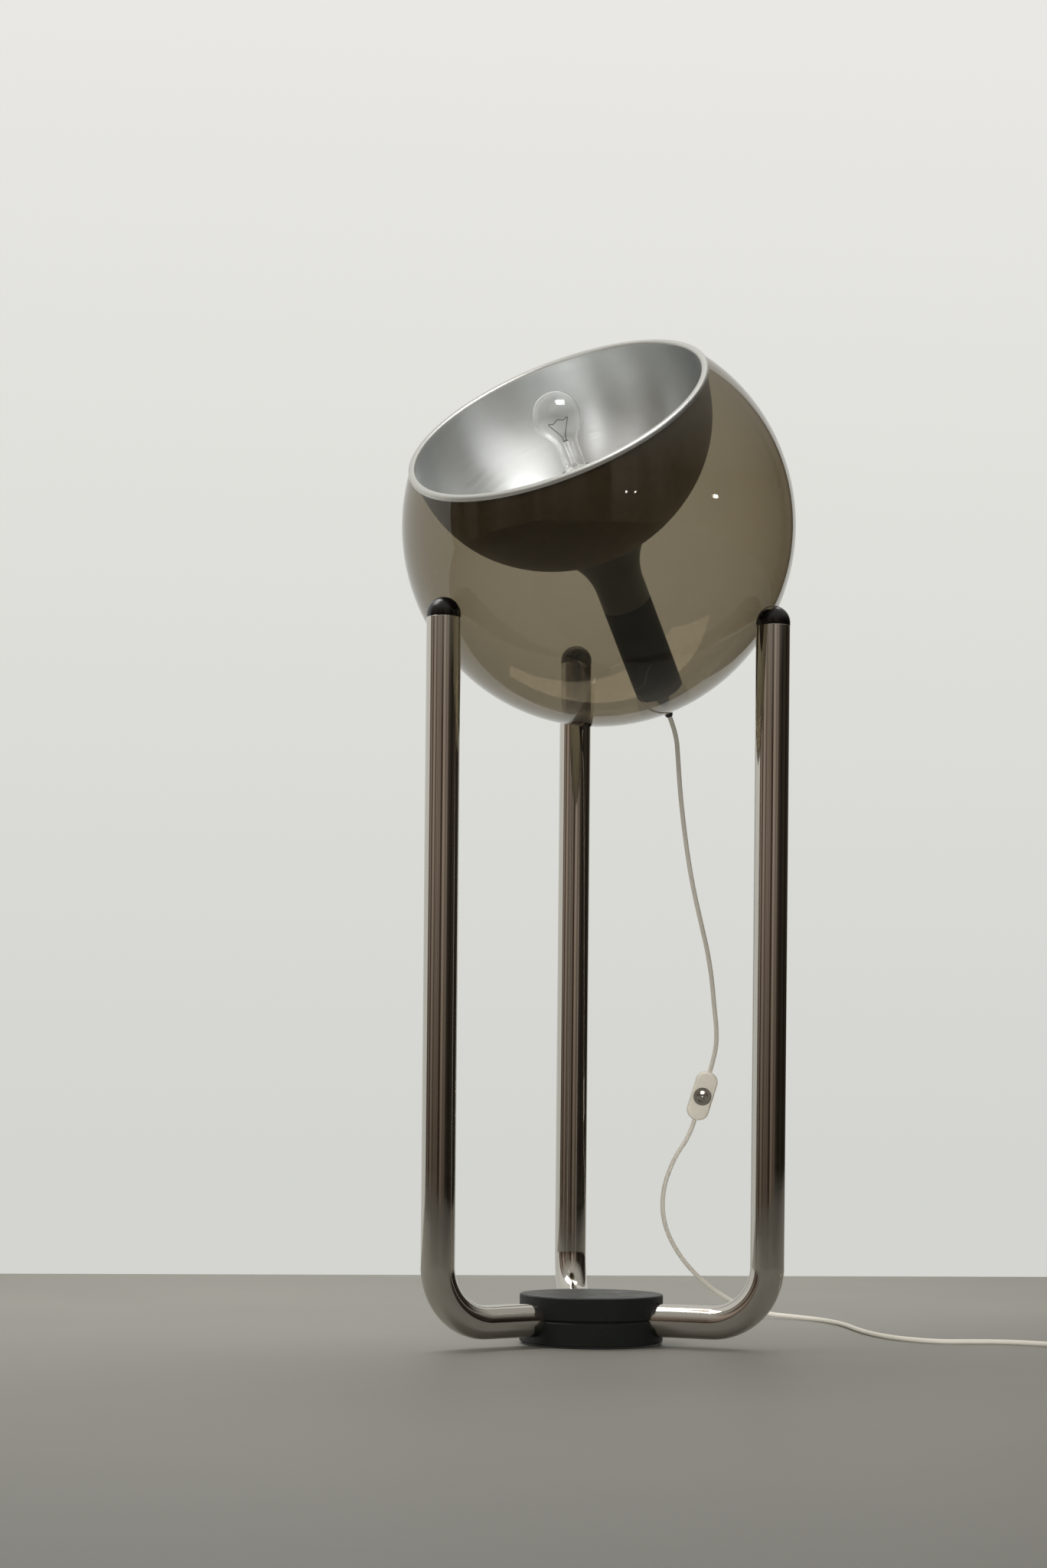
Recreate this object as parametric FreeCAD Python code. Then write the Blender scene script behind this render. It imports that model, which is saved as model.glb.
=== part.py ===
import FreeCAD, Part
import math
import os

# Globe floor lamp. A smoked acrylic globe with a spun reflector rests loosely on the capped
# tops of three bent chrome tubes, and a drum-shaped base of two cast halves clamps the tubes.
# Millimetres, +Z up, with the origin in the middle of the base's underside, on the floor.
# The rear leg stands on +Y, and the front legs at 210 and 330 degrees.

# Base: a drum of two halves that meet at a chamfered seam, on a felt pad
pad_thickness = 2.0
pad_margin = 5.0
base_half_height = 27.2
base_radius = 82.0
base_corner = 1.2
seam_chamfer = 2.0

# Legs: bent tubes on a three-armed hub
tube_diameter = 38.0
tube_wall = 1.5
tube_start_radius = 32.0
bend_radius = 65.0
leg_top_height = 807.0
rear_leg_angle = 90.0
groove_clearance = 0.2
hub_radius = 25.0
hub_height = 26.0
hub_clearance = 0.3
spigot_clearance = 0.3
spigot_reach = 62.0

# Fasteners inside the base
bolt_radius = 5.0
bolt_head_flats = 16.0
bolt_head_height = 6.4
bolt_washer_radius = 10.0
bolt_washer_thickness = 1.6
bolt_recess_radius = 11.0
bolt_end_margin = 6.0
bolt_tip_gap = 1.5
hole_clearance = 0.2
leg_screw_radius = 3.0
leg_screw_head_radius = 5.0
leg_screw_head_height = 3.5
leg_screw_from_axis = 46.0
leg_screw_bite = 12.0
screw_recess_clearance = 0.6

# Leg caps: domed plugs that carry the globe
cap_band_height = 3.5
cap_shank_length = 26.0
cap_shank_clearance = 0.2
seat_gap = 0.3
seat_latitude = 29.8

# Globe
globe_diameter = 450.0
globe_wall = 4.0
opening_height = 137.5
lean_angle = 40.0
lean_azimuth = 230.9

# Reflector, rim ring and neck, measured along the globe's own axis
bowl_sheet = 1.2
bowl_clearance = 1.5
bowl_straight = 6.5
bowl_depth_share = 0.918
bowl_shoulder_share = 0.863
bowl_floor_radius = 34.5
flange_inset = 1.6
ring_height = 5.5
ring_round = 1.6
face_gap = 0.1
flare_radius = 54.0
flare_edge = 0.6
flare_height = 52.0
neck_radius = 28.5
neck_length = 74.8
neck_wall = 4.0
neck_web = 4.0
neck_spigot_length = 10.0
neck_spigot_wall = 2.0
stem_radius = 5.0
stem_bore_radius = 3.6
stem_clearance = 0.15
nut_flats = 17.0
nut_height = 6.0

# Lamp holder on its pillar
pillar_radius = 18.0
pillar_wall = 1.5
pillar_height = 37.2
pillar_foot_radius = 27.0
pillar_foot_thickness = 2.0
holder_radius = 22.0
holder_wall = 2.6
holder_boss_radius = 13.0
holder_cap_height = 20.0
holder_cap_floor = 7.0
holder_skirt_height = 37.0
insert_clearance = 0.2
insert_height = 8.0
insert_ledge = 2.0
stem_top_inside_cap = 4.0
screw_shell_wall = 0.6
screw_shell_height = 24.0
contact_radius = 5.0
contact_height = 2.0

# Bulb
bulb_cap_radius = 13.1
bulb_cap_clearance = 0.3
bulb_cap_length = 26.0
bulb_tip_radius = 4.5
bulb_tip_height = 1.8
bulb_insulator_height = 3.0
bulb_radius = 27.5
bulb_length = 124.5
bulb_glass_wall = 0.7
bulb_neck_radius = 13.0
bulb_neck_blend = 24.0
bulb_shoulder_angle = 30.0
mount_radius = 7.0
mount_rod_radius = 3.0
mount_height = 36.0
filament_wire_radius = 0.5
filament_half_span = 13.0
filament_rise = 27.0
filament_sag = 5.0

# Cord exit at the globe's tail
gasket_radius = 13.0
gasket_thickness = 3.0
bushing_collar_radius = 8.0
bushing_collar_height = 6.0
bushing_tip_radius = 4.3
bushing_length = 20.0
bushing_bore_clearance = 0.3
tail_sweep_gap = 0.3

# Cord
cord_diameter = 5.6
corner_reach = 0.45
cord_first_run = 26.0
switch_run_above = 25.0
switch_run_below = 22.0

# In-line switch: its middle, the way the cord runs through it, and the way its button faces
switch_centre = FreeCAD.Vector(160.3, 208.4, 284.5)
switch_along = FreeCAD.Vector(-0.269, 0.147, -0.952)
switch_facing = FreeCAD.Vector(-0.098, -0.995, 0.0)
switch_length = 60.0
switch_width = 27.0
switch_thickness = 17.0
switch_corner = 12.0
switch_edge_round = 3.0
switch_wall = 1.8
button_radius = 7.0
button_proud = 4.0
button_crown = 1.2
button_travel = 2.0
button_gap = 0.3
button_flange = 1.6
button_flange_height = 1.5
bezel_radius = 11.0
bezel_height = 1.6
contact_block_length = 24.0
contact_block_width = 12.0
contact_block_gap = 0.5
case_post_radius = 3.2
case_post_x = 19.0
case_post_y = 7.2
case_screw_radius = 1.2
case_screw_head_radius = 2.2
case_screw_head_height = 1.4
case_screw_length = 10.0

# Coil of the length that is put away, its tie and its plug
coil_outer_radius = 37.5
coil_side_gap = 0.7
coil_layer_gap = 0.5
coil_layer_turns = 1.875
coil_climb_turns = 0.5
coil_start_angle = -90.0
coil_end_run = 34.0
coil_start = FreeCAD.Vector(590.0, -76.0, 0.0)
tie_thickness = 0.8
tie_clearance = 0.3
tie_side_clearance = 0.7
tie_width = 8.0
tie_angle = 140.0
plug_relief_length = 14.0
plug_relief_radius = 6.0
plug_relief_tip_radius = 3.6
plug_body_length = 26.0
plug_width = 34.0
plug_neck_width = 15.0
plug_corner = 5.0
pin_radius = 2.4
pin_length = 19.0
pin_spacing = 19.0

# Sizes that follow from the ones above
Vector = FreeCAD.Vector
up = Vector(0, 0, 1)
tube_radius = tube_diameter / 2
bore_radius = tube_radius - tube_wall
cord_radius = cord_diameter / 2
third_turn = 360 / 3
leg_angles = {
    "front_left": rear_leg_angle + third_turn,
    "front_right": rear_leg_angle + 2 * third_turn,
    "rear": rear_leg_angle,
}
seam_height = pad_thickness + base_half_height
base_top = seam_height + base_half_height
globe_radius = globe_diameter / 2
globe_inner_radius = globe_radius - globe_wall
seat_distance = globe_radius + tube_radius + seat_gap
leg_circle_radius = seat_distance * math.cos(math.radians(seat_latitude))
dome_height = leg_top_height + cap_band_height
globe_height = dome_height + seat_distance * math.sin(math.radians(seat_latitude))
globe_centre = Vector(0, 0, globe_height)

opening_outer_radius = math.sqrt(globe_radius ** 2 - opening_height ** 2)
opening_inner_radius = math.sqrt(globe_inner_radius ** 2 - opening_height ** 2)
bowl_radius = opening_inner_radius - bowl_clearance
bowl_inner_radius = bowl_radius - bowl_sheet
bowl_middle = opening_height - bowl_straight
bowl_depth = bowl_radius * bowl_depth_share
bowl_shoulder_radius = bowl_radius * bowl_shoulder_share
bowl_shoulder_offset = bowl_radius - bowl_shoulder_radius
bowl_crown_radius = (
    (bowl_depth ** 2 + bowl_shoulder_offset ** 2 - bowl_shoulder_radius ** 2)
    / (2 * (bowl_depth - bowl_shoulder_radius))
)
bowl_crown_middle = bowl_middle - bowl_depth + bowl_crown_radius
bowl_floor = bowl_crown_middle - math.sqrt(bowl_crown_radius ** 2 - bowl_floor_radius ** 2)
bowl_inner_floor = bowl_floor + bowl_sheet
flange_radius = opening_outer_radius - flange_inset
flange_top = opening_height + bowl_sheet
stem_hole_radius = stem_radius + stem_clearance
neck_bottom = bowl_floor - neck_length
neck_bore_radius = neck_radius - neck_wall
neck_spigot_radius = neck_bore_radius + neck_spigot_wall
pillar_top = bowl_inner_floor + pillar_height
holder_seam = pillar_top + holder_cap_height
holder_top = holder_seam + holder_skirt_height
holder_bore_radius = holder_radius - holder_wall
insert_radius = holder_bore_radius - insert_clearance
insert_top = holder_seam + insert_height
bulb_tip = insert_top + contact_height
bulb_seam = bulb_tip + bulb_tip_height + bulb_insulator_height + bulb_cap_length
bulb_middle = bulb_tip + bulb_length - bulb_radius
gasket_bottom = -globe_radius - gasket_thickness
nut_bottom = gasket_bottom - nut_height
tail_radius = -nut_bottom + bushing_length

lean_direction = math.radians(lean_azimuth)
tilt_axis = Vector(-math.sin(lean_direction), math.cos(lean_direction), 0)
globe_pose = FreeCAD.Placement(globe_centre, FreeCAD.Rotation(tilt_axis, lean_angle))
tail_direction = globe_pose.Rotation.multVec(Vector(0, 0, -1))

coil_lower_height = cord_radius + tie_thickness + tie_clearance
coil_rise = cord_diameter + coil_layer_gap
coil_upper_height = coil_lower_height + coil_rise
coil_pitch = cord_diameter + coil_side_gap


def line(start, end):
    """A straight edge of a turned outline, between two (radius, height) points."""
    return Part.LineSegment(Vector(start[0], 0, start[1]), Vector(end[0], 0, end[1])).toShape()


def arc(start, middle, end):
    """A round edge of a turned outline, through three (radius, height) points."""
    places = [Vector(point[0], 0, point[1]) for point in (start, middle, end)]
    return Part.Arc(*places).toShape()


def turned(edges):
    """The solid that a closed outline of edges sweeps about the Z axis."""
    face = Part.Face(Part.Wire(edges))
    return face.revolve(Vector(0, 0, 0), up, 360)


def turned_polygon(points):
    """The solid that a closed outline of straight sides sweeps about the Z axis."""
    ends = points[1:] + points[:1]
    return turned([line(start, end) for start, end in zip(points, ends)])


def on_circle(radius, centre_height, angle):
    """The (radius, height) point at an angle above level on a circle about the axis."""
    slope = math.radians(angle)
    return (radius * math.cos(slope), centre_height + radius * math.sin(slope))


def below_middle(radius, distance):
    """The height at which a sphere about the globe's centre is a distance from the axis."""
    return -math.sqrt(radius ** 2 - distance ** 2)


def upright(radius, low, high, x=0.0, y=0.0):
    """A cylinder that stands on Z between two heights."""
    return Part.makeCylinder(radius, high - low, Vector(x, y, low), up)


def hexagon(flats, low, high):
    """A six-sided prism on Z between two heights."""
    corner = flats / math.sqrt(3)
    places = [Vector(corner, 0, low)]
    for side in range(1, 6):
        angle = math.radians(60 * side)
        places.append(Vector(corner * math.cos(angle), corner * math.sin(angle), low))
    outline = Part.makePolygon(places + places[:1])
    return Part.Face(outline).extrude(Vector(0, 0, high - low))


def rounded_rectangle(length, width, corner, height):
    """A flat outline about the Z axis with round corners, longer on X."""
    x = length / 2 - corner
    y = width / 2 - corner
    edges = []
    for start, middle_x, middle_y in ((0, x, y), (90, -x, y), (180, -x, -y), (270, x, -y)):
        centre = Vector(middle_x, middle_y, height)
        edges.append(Part.makeCircle(corner, centre, up, start, start + 90))
    sides = []
    for edge, following in zip(edges, edges[1:] + edges[:1]):
        end = edge.valueAt(edge.LastParameter)
        beginning = following.valueAt(following.FirstParameter)
        sides.append(edge)
        sides.append(Part.LineSegment(end, beginning).toShape())
    return Part.Wire(sides)


def on_globe(shape):
    """A piece made about the globe's own axis, set in its leaning place."""
    shape.Placement = globe_pose
    return shape


def around_legs(shape):
    """Three copies of a shape, one on each leg's direction."""
    return [shape.rotated(Vector(0, 0, 0), up, angle) for angle in leg_angles.values()]


def leg_path():
    """A leg's middle line on +X: out from the hub, round the bend and up to the cap."""
    bend_start = Vector(leg_circle_radius - bend_radius, 0, seam_height)
    bend_end = Vector(leg_circle_radius, 0, seam_height + bend_radius)
    bend_inset = bend_radius * math.sin(math.radians(45))
    bend_middle = Vector(bend_start.x + bend_inset, 0, bend_end.z - bend_inset)
    start = Vector(tube_start_radius, 0, seam_height)
    end = Vector(leg_circle_radius, 0, leg_top_height)
    return Part.Wire([
        Part.LineSegment(start, bend_start).toShape(),
        Part.Arc(bend_start, bend_middle, bend_end).toShape(),
        Part.LineSegment(bend_end, end).toShape(),
    ])


def along(path, radius, start, heading):
    """A solid round bar along a path."""
    ring = Part.Wire(Part.makeCircle(radius, start, heading))
    return path.makePipeShell([ring], True, False)


def leg_screw_hole(low, high):
    """The clear hole of a leg screw on +X."""
    return upright(leg_screw_radius + hole_clearance, low, high, leg_screw_from_axis)


def make_leg():
    """A bent tube on +X, with a hole below for its screw."""
    path = leg_path()
    start = Vector(tube_start_radius, 0, seam_height)
    heading = Vector(1, 0, 0)
    outside = along(path, tube_radius, start, heading)
    bore = along(path, bore_radius, start, heading)
    return outside.cut(bore).cut(leg_screw_hole(0, seam_height))


def make_leg_cap():
    """A domed plug on +X: shank in the tube, band on its edge, half ball on top."""
    shank_radius = bore_radius - cap_shank_clearance
    shank_bottom = leg_top_height - cap_shank_length
    dome_top = dome_height + tube_radius
    cap = turned([
        line((0, shank_bottom), (shank_radius, shank_bottom)),
        line((shank_radius, shank_bottom), (shank_radius, leg_top_height)),
        line((shank_radius, leg_top_height), (tube_radius, leg_top_height)),
        line((tube_radius, leg_top_height), (tube_radius, dome_height)),
        arc((tube_radius, dome_height), on_circle(tube_radius, dome_height, 45), (0, dome_top)),
        line((0, dome_top), (0, shank_bottom)),
    ])
    return cap.translated(Vector(leg_circle_radius, 0, 0))


def base_half(outer_face, inward):
    """One half of the drum, from its flat outer face to the seam, with channels for the tubes."""
    points = [
        (0, outer_face),
        (base_radius - base_corner, outer_face),
        (base_radius, outer_face + inward * base_corner),
        (base_radius, seam_height - inward * seam_chamfer),
        (base_radius - seam_chamfer, seam_height),
        (0, seam_height),
    ]
    half = turned_polygon(points)
    groove = Part.makeCylinder(
        tube_radius + groove_clearance,
        base_radius + tube_radius,
        Vector(0, 0, seam_height),
        Vector(1, 0, 0),
    )
    for channel in around_legs(groove):
        half = half.cut(channel)
    return half


hub_low = seam_height - hub_height / 2
hub_high = seam_height + hub_height / 2
bolt_recess_top = pad_thickness + bolt_washer_thickness + bolt_head_height + bolt_tip_gap
bolt_head_top = bolt_recess_top - bolt_washer_thickness
bolt_hole_top = base_top - bolt_end_margin
screw_recess_top = pad_thickness + leg_screw_head_height
bolt_hole_radius = bolt_radius + hole_clearance


def make_base_lower():
    """The lower half: pocket for the hub, recesses below for the bolt and the leg screws."""
    half = base_half(pad_thickness, 1)
    half = half.cut(upright(hub_radius + hub_clearance, hub_low, base_top))
    half = half.cut(upright(bolt_hole_radius, 0, base_top))
    half = half.cut(upright(bolt_recess_radius, 0, bolt_recess_top))
    recess_radius = leg_screw_head_radius + screw_recess_clearance
    recess = upright(recess_radius, 0, screw_recess_top, leg_screw_from_axis)
    for hole in around_legs(recess) + around_legs(leg_screw_hole(0, seam_height)):
        half = half.cut(hole)
    return half


def make_base_upper():
    """The upper half: pocket for the hub and a blind tapped hole for the bolt."""
    half = base_half(base_top, -1)
    half = half.cut(upright(hub_radius + hub_clearance, 0, hub_high + hub_clearance))
    return half.cut(upright(bolt_hole_radius, 0, bolt_hole_top))


def make_leg_hub():
    """A round hub with three arms that plug into the tubes."""
    arm_radius = bore_radius - spigot_clearance
    arm_length = tube_start_radius + spigot_reach
    arm = Part.makeCylinder(arm_radius, arm_length, Vector(0, 0, seam_height), Vector(1, 0, 0))
    arms = around_legs(arm)
    core = upright(hub_radius, hub_low, hub_high)
    slab = upright(arm_length + hub_radius, hub_low, hub_high)
    hub = core.multiFuse([one.common(slab) for one in arms]).removeSplitter()
    screw_top = screw_recess_top + leg_screw_length() + bolt_tip_gap
    for hole in around_legs(leg_screw_hole(0, screw_top)):
        hub = hub.cut(hole)
    return hub.cut(upright(bolt_hole_radius, 0, base_top))


def leg_screw_length():
    """From the screw's head, past the tube's lower wall and into the hub's arm."""
    return seam_height - bore_radius + leg_screw_bite - screw_recess_top


def make_leg_screws():
    """The three screws that hold the tubes on the hub's arms."""
    head = upright(leg_screw_head_radius, pad_thickness, screw_recess_top, leg_screw_from_axis)
    shank_top = screw_recess_top + leg_screw_length()
    shank = upright(leg_screw_radius, pad_thickness, shank_top, leg_screw_from_axis)
    return Part.makeCompound(around_legs(head.fuse(shank).removeSplitter()))


def make_clamp_bolt():
    """The bolt that draws the two halves together, its head above the pad."""
    head = hexagon(bolt_head_flats, bolt_head_top - bolt_head_height, bolt_head_top)
    shank = upright(bolt_radius, bolt_head_top - bolt_head_height, bolt_hole_top - bolt_tip_gap)
    return head.fuse(shank).removeSplitter()


def ring_of(outer, inner, low, high):
    """A flat-ended ring about the Z axis."""
    return turned_polygon([(inner, low), (outer, low), (outer, high), (inner, high)])


def make_stand():
    """Base, legs and caps, with what fastens them."""
    pieces = {
        "base_pad": upright(base_radius - pad_margin, 0, pad_thickness),
        "base_lower_half": make_base_lower(),
        "base_upper_half": make_base_upper(),
        "leg_hub": make_leg_hub(),
        "leg_screws": make_leg_screws(),
        "clamp_bolt": make_clamp_bolt(),
        "clamp_washer": ring_of(bolt_washer_radius, bolt_hole_radius, bolt_head_top, bolt_recess_top),
    }
    leg = make_leg()
    cap = make_leg_cap()
    for place, angle in leg_angles.items():
        pieces["leg_" + place] = leg.rotated(Vector(0, 0, 0), up, angle)
        pieces["leg_cap_" + place] = cap.rotated(Vector(0, 0, 0), up, angle)
    return pieces


def make_globe_shell():
    """The acrylic ball: cut open at the top, with a hole in its tail."""
    hole = stem_hole_radius
    outer_rim = (opening_outer_radius, opening_height)
    inner_rim = (opening_inner_radius, opening_height)
    outer_hole = (hole, below_middle(globe_radius, hole))
    inner_hole = (hole, below_middle(globe_inner_radius, hole))
    return turned([
        arc(outer_rim, (globe_radius, 0), outer_hole),
        line(outer_hole, inner_hole),
        arc(inner_hole, (globe_inner_radius, 0), inner_rim),
        line(inner_rim, outer_rim),
    ])


def make_rim_ring():
    """The bright ring on the globe's cut edge, over the reflector's flange."""
    top = opening_height + ring_height
    inner = bowl_inner_radius
    outer = opening_outer_radius
    step = flange_radius + face_gap
    shoulder = top - ring_round
    outer_centre = outer - ring_round
    inner_centre = inner + ring_round
    bend = ring_round * math.sin(math.radians(45))
    return turned([
        line((inner, flange_top), (step, flange_top)),
        line((step, flange_top), (step, opening_height)),
        line((step, opening_height), (outer, opening_height)),
        line((outer, opening_height), (outer, shoulder)),
        arc((outer, shoulder), (outer_centre + bend, shoulder + bend), (outer_centre, top)),
        line((outer_centre, top), (inner_centre, top)),
        arc((inner_centre, top), (inner_centre - bend, shoulder + bend), (inner, shoulder)),
        line((inner, shoulder), (inner, flange_top)),
    ])


def make_reflector_bowl():
    """The spun bowl: flange on the globe's edge, round shoulder, flatter crown, flat floor."""
    hole = stem_hole_radius
    meeting_turn = math.atan2(bowl_middle - bowl_crown_middle, bowl_shoulder_offset)

    def on_shoulder(inset, turn):
        reach = bowl_shoulder_radius - inset
        return (bowl_shoulder_offset + reach * math.cos(turn), bowl_middle + reach * math.sin(turn))

    def on_crown(inset, radius):
        return (radius, bowl_crown_middle - math.sqrt((bowl_crown_radius - inset) ** 2 - radius ** 2))

    inner_crown_radius = bowl_crown_radius - bowl_sheet
    inner_drop = bowl_crown_middle - bowl_inner_floor
    inner_floor_radius = math.sqrt(inner_crown_radius ** 2 - inner_drop ** 2)
    floor_end = (bowl_floor_radius, bowl_floor)
    inner_floor_end = (inner_floor_radius, bowl_inner_floor)
    meeting = on_shoulder(0, meeting_turn)
    inner_meeting = on_shoulder(bowl_sheet, meeting_turn)
    return turned([
        line((flange_radius, opening_height), (bowl_radius, opening_height)),
        line((bowl_radius, opening_height), (bowl_radius, bowl_middle)),
        arc((bowl_radius, bowl_middle), on_shoulder(0, meeting_turn / 2), meeting),
        arc(meeting, on_crown(0, (meeting[0] + bowl_floor_radius) / 2), floor_end),
        line(floor_end, (hole, bowl_floor)),
        line((hole, bowl_floor), (hole, bowl_inner_floor)),
        line((hole, bowl_inner_floor), inner_floor_end),
        arc(inner_floor_end, on_crown(bowl_sheet, (inner_meeting[0] + inner_floor_radius) / 2), inner_meeting),
        arc(inner_meeting, on_shoulder(bowl_sheet, meeting_turn / 2), (bowl_inner_radius, bowl_middle)),
        line((bowl_inner_radius, bowl_middle), (bowl_inner_radius, flange_top)),
        line((bowl_inner_radius, flange_top), (flange_radius, flange_top)),
        line((flange_radius, flange_top), (flange_radius, opening_height)),
    ])


def make_neck_flare():
    """The collar under the bowl: a concave flare that runs into the round neck."""
    seat_radius = bowl_crown_radius + face_gap

    def under_bowl(radius):
        return bowl_crown_middle - math.sqrt(seat_radius ** 2 - radius ** 2)

    hole = stem_hole_radius
    flare_top = under_bowl(flare_radius)
    curve_start = (flare_radius, flare_top - flare_edge)
    curve_end = (neck_radius, bowl_floor - flare_height)
    run = flare_radius - neck_radius
    drop = curve_start[1] - curve_end[1]
    curve_radius = (run ** 2 + drop ** 2) / (2 * run)
    half_turn = math.asin(drop / curve_radius) / 2
    curve_middle = (
        neck_radius + curve_radius * (1 - math.cos(half_turn)),
        curve_end[1] + curve_radius * math.sin(half_turn),
    )
    seat_start = (bowl_floor_radius, under_bowl(bowl_floor_radius))
    seat_middle_radius = (bowl_floor_radius + flare_radius) / 2
    spigot_bottom = neck_bottom - neck_spigot_length
    web_bottom = bowl_floor - neck_web
    return turned([
        line((hole, bowl_floor), (bowl_floor_radius - flare_edge, bowl_floor)),
        line((bowl_floor_radius - flare_edge, bowl_floor), seat_start),
        arc(seat_start, (seat_middle_radius, under_bowl(seat_middle_radius)), (flare_radius, flare_top)),
        line((flare_radius, flare_top), curve_start),
        arc(curve_start, curve_middle, curve_end),
        line(curve_end, (neck_radius, neck_bottom)),
        line((neck_radius, neck_bottom), (neck_spigot_radius, neck_bottom)),
        line((neck_spigot_radius, neck_bottom), (neck_spigot_radius, spigot_bottom)),
        line((neck_spigot_radius, spigot_bottom), (neck_bore_radius, spigot_bottom)),
        line((neck_bore_radius, spigot_bottom), (neck_bore_radius, web_bottom)),
        line((neck_bore_radius, web_bottom), (hole, web_bottom)),
        line((hole, web_bottom), (hole, bowl_floor)),
    ])


def make_socket_sleeve():
    """The black tube between the neck and the globe's tail, cut to the ball's inside."""
    reach = globe_inner_radius - face_gap
    inner = neck_spigot_radius + face_gap
    middle = (inner + neck_radius) / 2
    outer_end = (neck_radius, below_middle(reach, neck_radius))
    inner_end = (inner, below_middle(reach, inner))
    return turned([
        line((inner, neck_bottom), (neck_radius, neck_bottom)),
        line((neck_radius, neck_bottom), outer_end),
        arc(outer_end, (middle, below_middle(reach, middle)), inner_end),
        line(inner_end, (inner, neck_bottom)),
    ])


def make_holder_pillar():
    """The footed tube on the bowl's floor that lifts the lamp holder."""
    inner = pillar_radius - pillar_wall
    foot_top = bowl_inner_floor + pillar_foot_thickness
    plate_bottom = pillar_top - pillar_foot_thickness
    return turned_polygon([
        (stem_hole_radius, pillar_top),
        (pillar_radius, pillar_top),
        (pillar_radius, foot_top),
        (pillar_foot_radius, foot_top),
        (pillar_foot_radius, bowl_inner_floor),
        (inner, bowl_inner_floor),
        (inner, plate_bottom),
        (stem_hole_radius, plate_bottom),
    ])


def make_holder_cap():
    """The lower half of the lamp holder, screwed on the stem."""
    floor_top = pillar_top + holder_cap_floor
    cavity = holder_bore_radius - insert_ledge
    return turned_polygon([
        (stem_hole_radius, pillar_top),
        (holder_boss_radius, pillar_top),
        (holder_radius, pillar_top + holder_cap_height / 2),
        (holder_radius, holder_seam),
        (cavity, holder_seam),
        (cavity, pillar_top + holder_cap_height / 2),
        (holder_boss_radius - holder_wall, floor_top),
        (stem_hole_radius, floor_top),
    ])


def make_holder_contact():
    """The middle contact: a round brass stud on the insert."""
    return upright(contact_radius, insert_top, bulb_tip)


def bulb_outline(inset):
    """Edges of the bulb's glass from its top to its foot, moved inwards by an inset."""
    ball = bulb_radius - inset
    neck = bulb_neck_radius - inset
    blend = bulb_neck_blend + inset
    top = (0, bulb_middle + ball)
    shoulder = on_circle(ball, bulb_middle, -bulb_shoulder_angle)
    slope = math.radians(bulb_shoulder_angle)
    blend_end_radius = neck + blend * (1 - math.cos(slope))
    fall = (shoulder[0] - blend_end_radius) / math.tan(slope)
    cone_end = (blend_end_radius, shoulder[1] - fall)
    neck_start = (neck, cone_end[1] - blend * math.sin(slope))
    blend_middle = (
        neck + blend * (1 - math.cos(slope / 2)),
        neck_start[1] + blend * math.sin(slope / 2),
    )
    foot = (neck, bulb_seam)
    return top, foot, [
        arc(top, on_circle(ball, bulb_middle, 45), shoulder),
        line(shoulder, cone_end),
        arc(cone_end, blend_middle, neck_start),
        line(neck_start, foot),
    ]


def make_bulb_glass():
    """The clear envelope, open at the foot where the cap closes it."""
    outer_top, outer_foot, outside = bulb_outline(0)
    inner_top, inner_foot, inside = bulb_outline(bulb_glass_wall)
    walls = outside + [line(outer_foot, inner_foot)] + inside[::-1]
    return turned(walls + [line(inner_top, outer_top)])


def make_bulb_cap():
    """The screw cap with its insulator and solder tip."""
    insulator = bulb_tip + bulb_tip_height
    thread_start = insulator + bulb_insulator_height
    return turned_polygon([
        (0, bulb_tip),
        (bulb_tip_radius, bulb_tip),
        (bulb_tip_radius, insulator),
        (bulb_cap_radius, thread_start),
        (bulb_cap_radius, bulb_seam),
        (0, bulb_seam),
    ])


def make_bulb_mount():
    """The glass foot and rod that carry the filament's wires."""
    flare_end = bulb_seam + mount_radius
    return turned_polygon([
        (0, bulb_seam),
        (mount_radius, bulb_seam),
        (mount_rod_radius, flare_end),
        (mount_rod_radius, bulb_seam + mount_height),
        (0, bulb_seam + mount_height),
    ])


def rounded_path(points):
    """Straight runs joined by tangent arcs, each as large as the runs beside it allow."""
    edges = []
    radii = []
    start = points[0]
    for before, corner, after in zip(points, points[1:], points[2:]):
        back = Vector(before - corner).normalize()
        on = Vector(after - corner).normalize()
        reach = corner_reach * min((before - corner).Length, (after - corner).Length)
        half_turn = (math.pi - back.getAngle(on)) / 2
        radius = reach / math.tan(half_turn)
        bisector = (back + on).normalize()
        middle = corner + bisector * (radius / math.cos(half_turn) - radius)
        edges.append(Part.LineSegment(start, corner + back * reach).toShape())
        edges.append(Part.Arc(corner + back * reach, middle, corner + on * reach).toShape())
        radii.append(radius)
        start = corner + on * reach
    edges.append(Part.LineSegment(start, points[-1]).toShape())
    return Part.Wire(edges), radii


def make_bulb_filament():
    """Lead wires and filament as one bent wire, standing on the glass rod."""
    foot = bulb_seam + mount_height
    half_rod = mount_rod_radius / 2
    crest = foot + filament_rise
    lead_bend = foot + filament_sag
    points = [
        Vector(-half_rod, 0, foot),
        Vector(-half_rod, 0, lead_bend),
        Vector(-filament_half_span, 0, crest),
        Vector(-filament_half_span / 2, 0, crest - filament_sag),
        Vector(0, 0, crest),
        Vector(filament_half_span / 2, 0, crest - filament_sag),
        Vector(filament_half_span, 0, crest),
        Vector(half_rod, 0, lead_bend),
        Vector(half_rod, 0, foot),
    ]
    path, radii = rounded_path(points)
    return along(path, filament_wire_radius, points[0], points[1] - points[0])


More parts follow.
